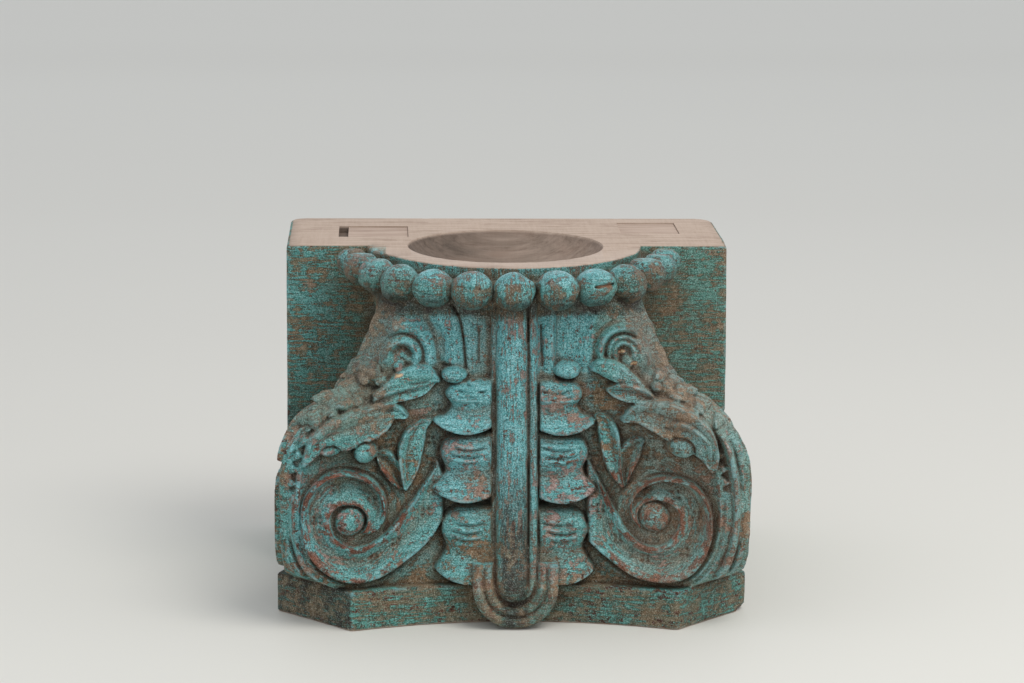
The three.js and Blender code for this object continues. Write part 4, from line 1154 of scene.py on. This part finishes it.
    # dirt and painted shade, broken into patches
    soot_shade_fac = N.math('MULTIPLY', soot_and_shade, N.math('ADD', 0.60, total(off(blot, 3.6), off(patch, 2.4)), clamp=True), clamp=True)
    col = N.mix(soot_shade_fac, col, srgb(40, 31, 22))
    col = N.mix(mul(N.step(grit, 0.46, 0.34), 0.40), col, srgb(36, 28, 20))
    col = N.mix(mul(N.step(grit, 0.53, 0.66), 0.40), col, srgb(192, 198, 188))
    # bare sawn wood on the top face, darker down in the dish with stain and painted shade
    tg = N.noise(N.scaled(14, 240, 240), 1.0, 6.0, 0.65, 0.6)
    saw = N.noise(N.scaled(500, 30, 30), 1.0, 3.0, 0.6)
    stain = N.noise(N.scaled(26, 60, 60, loc=(2.0, 4.0, 1.0)), 1.0, 4.0, 0.6)
    topw = N.ramp(total(mul(tg, 0.6), mul(saw, 0.15), mul(grit, 0.25)), [(0.32, srgb(146, 124, 108)), (0.47, srgb(176, 156, 140)), (0.60, srgb(190, 171, 155)), (0.72, srgb(204, 187, 172))])
    topw = N.mix(mul(N.step(stain, 0.54, 0.66), 0.35), topw, srgb(132, 108, 92))
    low = mul(N.step(z, 0.2499, 0.2475), mul(N.step(z, 0.16, 0.20), N.step(y, 0.142, 0.134)))
    shade = add(mul(stain, 0.6), mul(tg, 0.4))
    topw = N.mix(mul(low, 0.56), topw, N.ramp(shade, [(0.38, srgb(58, 48, 40)), (0.62, srgb(122, 104, 92))]))
    # painted shadow and smoke staining on the dish's left half
    topw = N.mix(mul(low, mul(N.step(x, 0.03, -0.05), 0.58)), topw, N.ramp(shade, [(0.38, srgb(38, 31, 26)), (0.62, srgb(90, 76, 66))]))
    col = N.mix(bare, col, topw)
    col = N.mix(raw, col, N.ramp(raw, [(0.60, srgb(190, 118, 78)), (0.90, srgb(204, 180, 140))]))
    N.put(N.bsdf.inputs["Base Color"], col)
    rough = N.step(add(keep, mul(bare, -0.3)), 0.40, 0.60, 0.80, 0.54)
    N.put(N.bsdf.inputs["Roughness"], sub(rough, mul(shine, 0.30)))
    N.bsdf.inputs["Specular IOR Level"].default_value = 0.36
    # paint stands a little proud of what it has left, and the wood's grain shows through it
    flat_ = sub(1.0, bare)
    h = total(mul(N.step(keep, 0.462, 0.494), 0.40), mul(streak, add(mul(brush, 0.5), 0.5)), mul(blot, 0.6), mul(grit, 0.25))
    h = add(mul(h, flat_), mul(mul(tg, 0.9), bare))
    N.put(N.bsdf.inputs["Normal"], N.bump(h, 0.0011, 0.80))
    return N.mat


def plug_wood():
    N = Nodes("plug_bare_wood")
    g = N.noise(N.scaled(22, 300, 300), 1.0, 5.0, 0.6, 0.4)
    col = N.ramp(g, [(0.3, srgb(140, 118, 104)), (0.5, srgb(172, 150, 134)), (0.7, srgb(192, 172, 156))])
    N.put(N.bsdf.inputs["Base Color"], col)
    N.bsdf.inputs["Roughness"].default_value = 0.75
    N.put(N.bsdf.inputs["Normal"], N.bump(g, 0.0006, 0.5))
    return N.mat


def floor_material():
    N = Nodes("pale_floor")
    n = N.noise(N.scaled(1.2, 9, 9), 1.0, 3.0, 0.5)
    N.put(N.bsdf.inputs["Base Color"], N.ramp(n, [(0.3, srgb(212, 210, 203)), (0.7, srgb(221, 220, 213))]))
    N.bsdf.inputs["Roughness"].default_value = 0.7
    N.bsdf.inputs["Specular IOR Level"].default_value = 0.2
    return N.mat


# ------------------------------------------------------------------ build
carving, field = build_carving()
co, marks = depth_marks(carving, *field)
del field
nrm = np.empty(len(co) * 3)
carving.data.vertices.foreach_get("normal", nrm)
nrm = nrm.reshape(-1, 3)
X, Y, Z = co.T
Q = AXIS_Y - Y
R_ = np.hypot(X - DISH[0], Y - DISH[1])
bare = np.where((Z > 249.0) & (nrm[:, 2] > 0.5) & ((np.hypot(X, Q) < PLATE_R + 1.5) | (Q < 0.5)), 1.0, 0.0)
bare = np.maximum(bare, (R_ < 75.6) & (Z > 226))
in_l = (X > -128.2) & (X < -73.8) & (Y > 56.3) & (Y < 108.7) & (Z > 219)
in_r = (X > 88.3) & (X < 134.7) & (Y > 73.3) & (Y < 126.7) & (Z > 219)
bare = np.maximum(bare, in_l | in_r)
bare = np.where((Y > 146) | (Z < 1.0), 0.92, bare)
set_mark(carving, "bare", bare)
# where the coat is brightest: rib, husks, stems, scroll bands; dull low down, at the corners and behind; on the beads'
# tops it is a painted highlight
AXv = np.abs(X)
panel = ease((X - 13) / 4) * ease((62 - X) / 8) * ease((Z - 172) / 6) * ease((217 - Z) / 3) * (Q > 60)
panel_l = ease((-X - 44) / 4) * ease((X + 94) / 8) * ease((Z - 170) / 8) * ease((217 - Z) / 3) * (Q > 60)
marks["deep"] = np.clip(marks["deep"] - 0.24 * panel - 0.08 * panel_l, 0, 1)
marks["mid"] = np.clip(marks["mid"] - 0.10 * panel, 0, 1)
for key, val in marks.items():
    set_mark(carving, key, val)
rib_zone = ease((19 - AXv) / 3) * (Q > 80) * ease((Z - 30) / 40)
husk_zone = ease((62 - AXv) / 6) * (Q > 80) * ease((Z - 28) / 20)
flank_zone = 0.45 * ease((Q - 60) / 20) * ease((Z - 26) / 16) * ease((176 - AXv) / 20)
low_fade = 1 - 0.60 * ease((120 - Z) / 80) * ease((70 - AXv) / 20)
br = np.maximum(np.maximum(0.85 * rib_zone * low_fade, 0.85 * husk_zone * low_fade), flank_zone)
corner = ease((AXv - 96) / 20) * ease((Z - 138) / 16) * (Q > 0)
br = br * (1 - np.where(X < 0, 0.75, 0.45) * corner) * (1 - 0.14 * ease((X - 14) / 20))
neck = (Z > 216) & (Q > 20)
br = np.maximum(br, 0.85 * panel_l * (1 - ease((AXv - 62) / 26) * 0.4))
# beads: painted highlight, lighter towards their tops
br = np.where(neck, 0.42 - 0.3 * ease((AXv - 58) / 25) + 0.40 * ease((Z - BEAD_Z - 2) / 9) * (np.hypot(X, Q) > 100), br)
br = np.maximum(br, 0.70 * ease((X + 160) / 6) * ease((-X - 118) / 14) * ease((Z - 46) / 10) * ease((118 - Z) / 12) * (Q > 100))
br = np.maximum(br, 0.55 * ease((X - 64) / 10) * ease((142 - X) / 10) * ease((Z - 124) / 8) * ease((186 - Z) / 8) * (Q > 80))
br = np.maximum(br, 0.30 * ease((-X - 120) / 20) * ease((Z - 120) / 60) * (Q < 4) * (Q > -3))
set_mark(carving, "coat_tone_and_highlight", np.clip(br, 0, 1))
vert = np.clip(np.maximum(rib_zone, 0.75 * ease((58 - AXv) / 10) * ease((Z - 172) / 8) * (Q > 80)), 0, 1)
set_mark(carving, "vert", vert)
eye_x, eye_z = np.where(X < 0, SCROLL_X[0], SCROLL_X[1]) * 1000, 77.7
r_eye = np.hypot(X - eye_x, Z - eye_z)
ring = ease((46 - r_eye) / 5) * ease((r_eye - 3) / 4) * (Q > 105) * (1 - ease((62 - AXv) / 4))
set_mark(carving, "ring", np.clip(ring, 0, 1))
# brush streaks are plain to see on the flat faces, faint on the carving
flat_faces = (Q < 6) | (Z < 29.5)
set_mark(carving, "brush", np.where(flat_faces, 1.0, 0.05 + 0.35 * vert + 0.25 * ring))
# thinnest paint: low on the rib, the abacus and its corners, beads and the scroll eyes
wear = 0.75 * ease((11.5 - AXv) / 3) * ease((105 - Z) / 60) * (Q > 120)
wear = np.maximum(wear, (0.62 + 0.25 * ease((X - 10) / 40)) * (Z < 29) * (Q > 0))
wear = np.maximum(wear, 0.75 * ease((X - 14) / 12) * ease((66 - X) / 8) * (Z > 29) * ease((128 - Z) / 12) * (Q > 80))
wear = np.maximum(wear, 0.10 * neck)
wear = np.maximum(wear, 0.7 * ease((11 - r_eye) / 2) * (Q > 120))
wear = np.maximum(wear, 0.12 * ease((X - 60) / 60) * (Z > 29) * (Q > 4))
wear = np.where((Q < 4) & (X > 60) & (Z < 249), -0.25, wear)
corner_u = corner_out(np.clip(Z, 28, 226)) / math.sqrt(2)
turned = ease((np.minimum(AXv, Q) - corner_u + 17) / 6) * ease((Z - 166) / 12) * (1 - neck) * (Q > 6)
wear = np.maximum(wear, 0.75 * turned)
wear = np.where(neck, -1.2 + 1.7 * ease((AXv - 58) / 25), wear)
wear = np.where((Q < 4) & (X < -60) & (Z < 249) & (Y < 140), -0.5, wear)
wear = np.where((X > 62) & (Z > 108) & (Z < 190) & (Q > 60) & (turned < 0.3), np.minimum(wear, -0.75), wear)
wear = np.maximum(wear, 0.5 * ease((-X - 118) / 12) * ease((Z - 34) / 10) * ease((150 - Z) / 20) * (Q > 60))
wear = np.where((Z > 168) & (AXv < 52) & (Q > 70) & ~neck, np.where(X > 0, -1.9, -0.5), wear)
r_tongue = np.hypot(X - 0.6, np.minimum(Z - 31, 0))
wear = np.maximum(wear, 0.45 * (r_tongue < 31) * (r_tongue > 13) * (Q > 148) * (Z < 45))
set_mark(carving, "worn", np.clip(wear, -2, 1))
# darkening with old dirt and painted shade: painted shadow on the block low on its left beside the bell, painted shade
# under the beads and on the horn's corners where they turn away; also darker on the abacus, the sides of the necking
# and low on the rib
soot_shade_mask = 1.25 * ease((165 - Z) / 70) * (Q < 4) * (Q > -3) * ease((-X - 60) / 60)
soot_shade_mask = np.maximum(soot_shade_mask, 1.25 * (Z < 29) * (AXv > 117) * (X < 0) * (Q > 60))
soot_shade_mask = np.maximum(soot_shade_mask, 0.30 * (Z < 29) * (X > 10) * (Q > 60))
# painted shade under the beads
soot_shade_mask = np.maximum(soot_shade_mask, 1.2 * neck * ease((BEAD_Z + 2 * ease((AXv - 70) / 25) + 1 - Z) / 11) * (np.hypot(X, Q) > 100))
soot_shade_mask = np.maximum(soot_shade_mask, 0.48 * neck * ease((AXv - 66) / 14) * (Z < 247))
# painted shade on the horn's corners where they turn away
soot_shade_mask = np.maximum(soot_shade_mask, 0.50 * turned)
set_mark(carving, "dusty", np.clip(np.maximum(ease((AXv - 84) / 12) * ease((Z - 134) / 12) * ease((190 - Z) / 8) * np.where(X < 0, 0.85, 0.55), 0.7 * turned) * (Q > 4), 0, 1))
soot_shade_mask = np.maximum(soot_shade_mask, 1.25 * ease((122 - Z) / 50) * ease((11 - AXv) / 3) * (Q > 120))
set_mark(carving, "soot_and_shade", np.clip(soot_shade_mask, 0, 1.25) * 0.75)
set_mark(carving, "warm", np.maximum(ease((X - 64) / 26) * (Z > 29), 0.9 * (r_tongue < 31) * (Q > 148) * (Z < 45)) * (1 - neck) * (bare < 0.5) * np.where(Q < 4, 0.22, 0.55))
set_mark(carving, "shine", np.clip(np.maximum(neck * 1.0, 0.7 * rib_zone), 0, 1))
# small fresh breaks: pale chips in the two curls and the split bead
spots = np.zeros(len(X))
for cu_, cz_, ru_, rz_ in ((-82.5, 176.5, 3.4, 1.0), (78.0, 190.8, 2.6, 0.9), (86.0, 183.4, 3.0, 0.9)):
    a_ = np.hypot((X - cu_) / ru_, (Z - cz_ - 0.3 * (X - cu_)) / rz_)
    spots = np.maximum(spots, ease((1.15 - a_) / 0.4) * (Q > 90))
split = np.radians(30)
along = (X - RING_R * np.sin(split)) * np.cos(split) + (AXIS_Y - Y - RING_R * np.cos(split)) * -np.sin(split)
across = Z - BEAD_Z - 3.4 - 0.05 * along
spots = np.maximum(spots, 0.66 * (np.abs(along) < 6.5) * ease((1.1 - np.abs(across + 0.3)) / 0.8) * (Q > 98))
set_mark(carving, "raw", spots)
carving.data.transform(Matrix.Scale(0.001, 4))
carving.data.update()
carving.data.shade_smooth()
carving.data.set_sharp_from_angle(angle=math.radians(55))
carving.data.materials.clear()
carving.data.materials.append(painted_wood())
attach(carving, "root")
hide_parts("capital_block")

plug_mat = plug_wood()
for name in ("plug_left", "plug_right"):
    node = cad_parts[name]
    node.data.materials.clear()
    node.data.materials.append(plug_mat)

# ------------------------------------------------------------------ stage, light, camera
bpy.ops.mesh.primitive_plane_add(size=1, location=(0, 0, 0))
floor = bpy.context.object
floor.name = "floor"
floor.scale = (30, 30, 1)
floor.data.materials.append(floor_material())
floor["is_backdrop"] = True

scene = bpy.context.scene
scene.view_settings.view_transform = "Standard"
world = scene.world or bpy.data.worlds.new("world")
scene.world = world
world.use_nodes = True
world.node_tree.nodes["Background"].inputs[0].default_value = (0.93, 0.955, 1.0, 1)
world.node_tree.nodes["Background"].inputs[1].default_value = 0.80


def area(name, loc, target, size, power, color):
    light = bpy.data.lights.new(name, "AREA")
    light.shape = "RECTANGLE"
    light.size, light.size_y = size
    light.energy, light.color = power, color
    ob = bpy.data.objects.new(name, light)
    ob.location = loc
    ob.rotation_euler = (Vector(target) - Vector(loc)).to_track_quat("-Z", "Y").to_euler()
    scene.collection.objects.link(ob)


area("key", (0.9, -0.9, 2.1), (0, 0, 0.12), (1.3, 1.3), 26, (1.0, 0.965, 0.91))

# camera: fitted to the straight edges of the block and abacus
azimuth, elevation, roll = math.radians(-2.44), math.radians(11.38), math.radians(0.48)
back = Vector((math.sin(azimuth) * math.cos(elevation), -math.cos(azimuth) * math.cos(elevation), math.sin(elevation)))
aim = Vector((0.0049, 0.0541, 0.1695))
right = (-back).cross(Vector((0, 0, 1))).normalized()
up = right.cross(-back)
right2 = math.cos(roll) * right + math.sin(roll) * up
up2 = -math.sin(roll) * right + math.cos(roll) * up
cam_data = bpy.data.cameras.new("camera")
cam_data.lens = 110.25
cam_data.sensor_width = 36.0
cam_data.clip_end = 50
cam = bpy.data.objects.new("camera", cam_data)
scene.collection.objects.link(cam)
cam.matrix_world = Matrix.Translation(aim + back * 2.4) @ Matrix((right2, up2, back)).transposed().to_4x4()
scene.camera = cam

SIZE["visual"] = [list(map(float, c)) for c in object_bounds()]
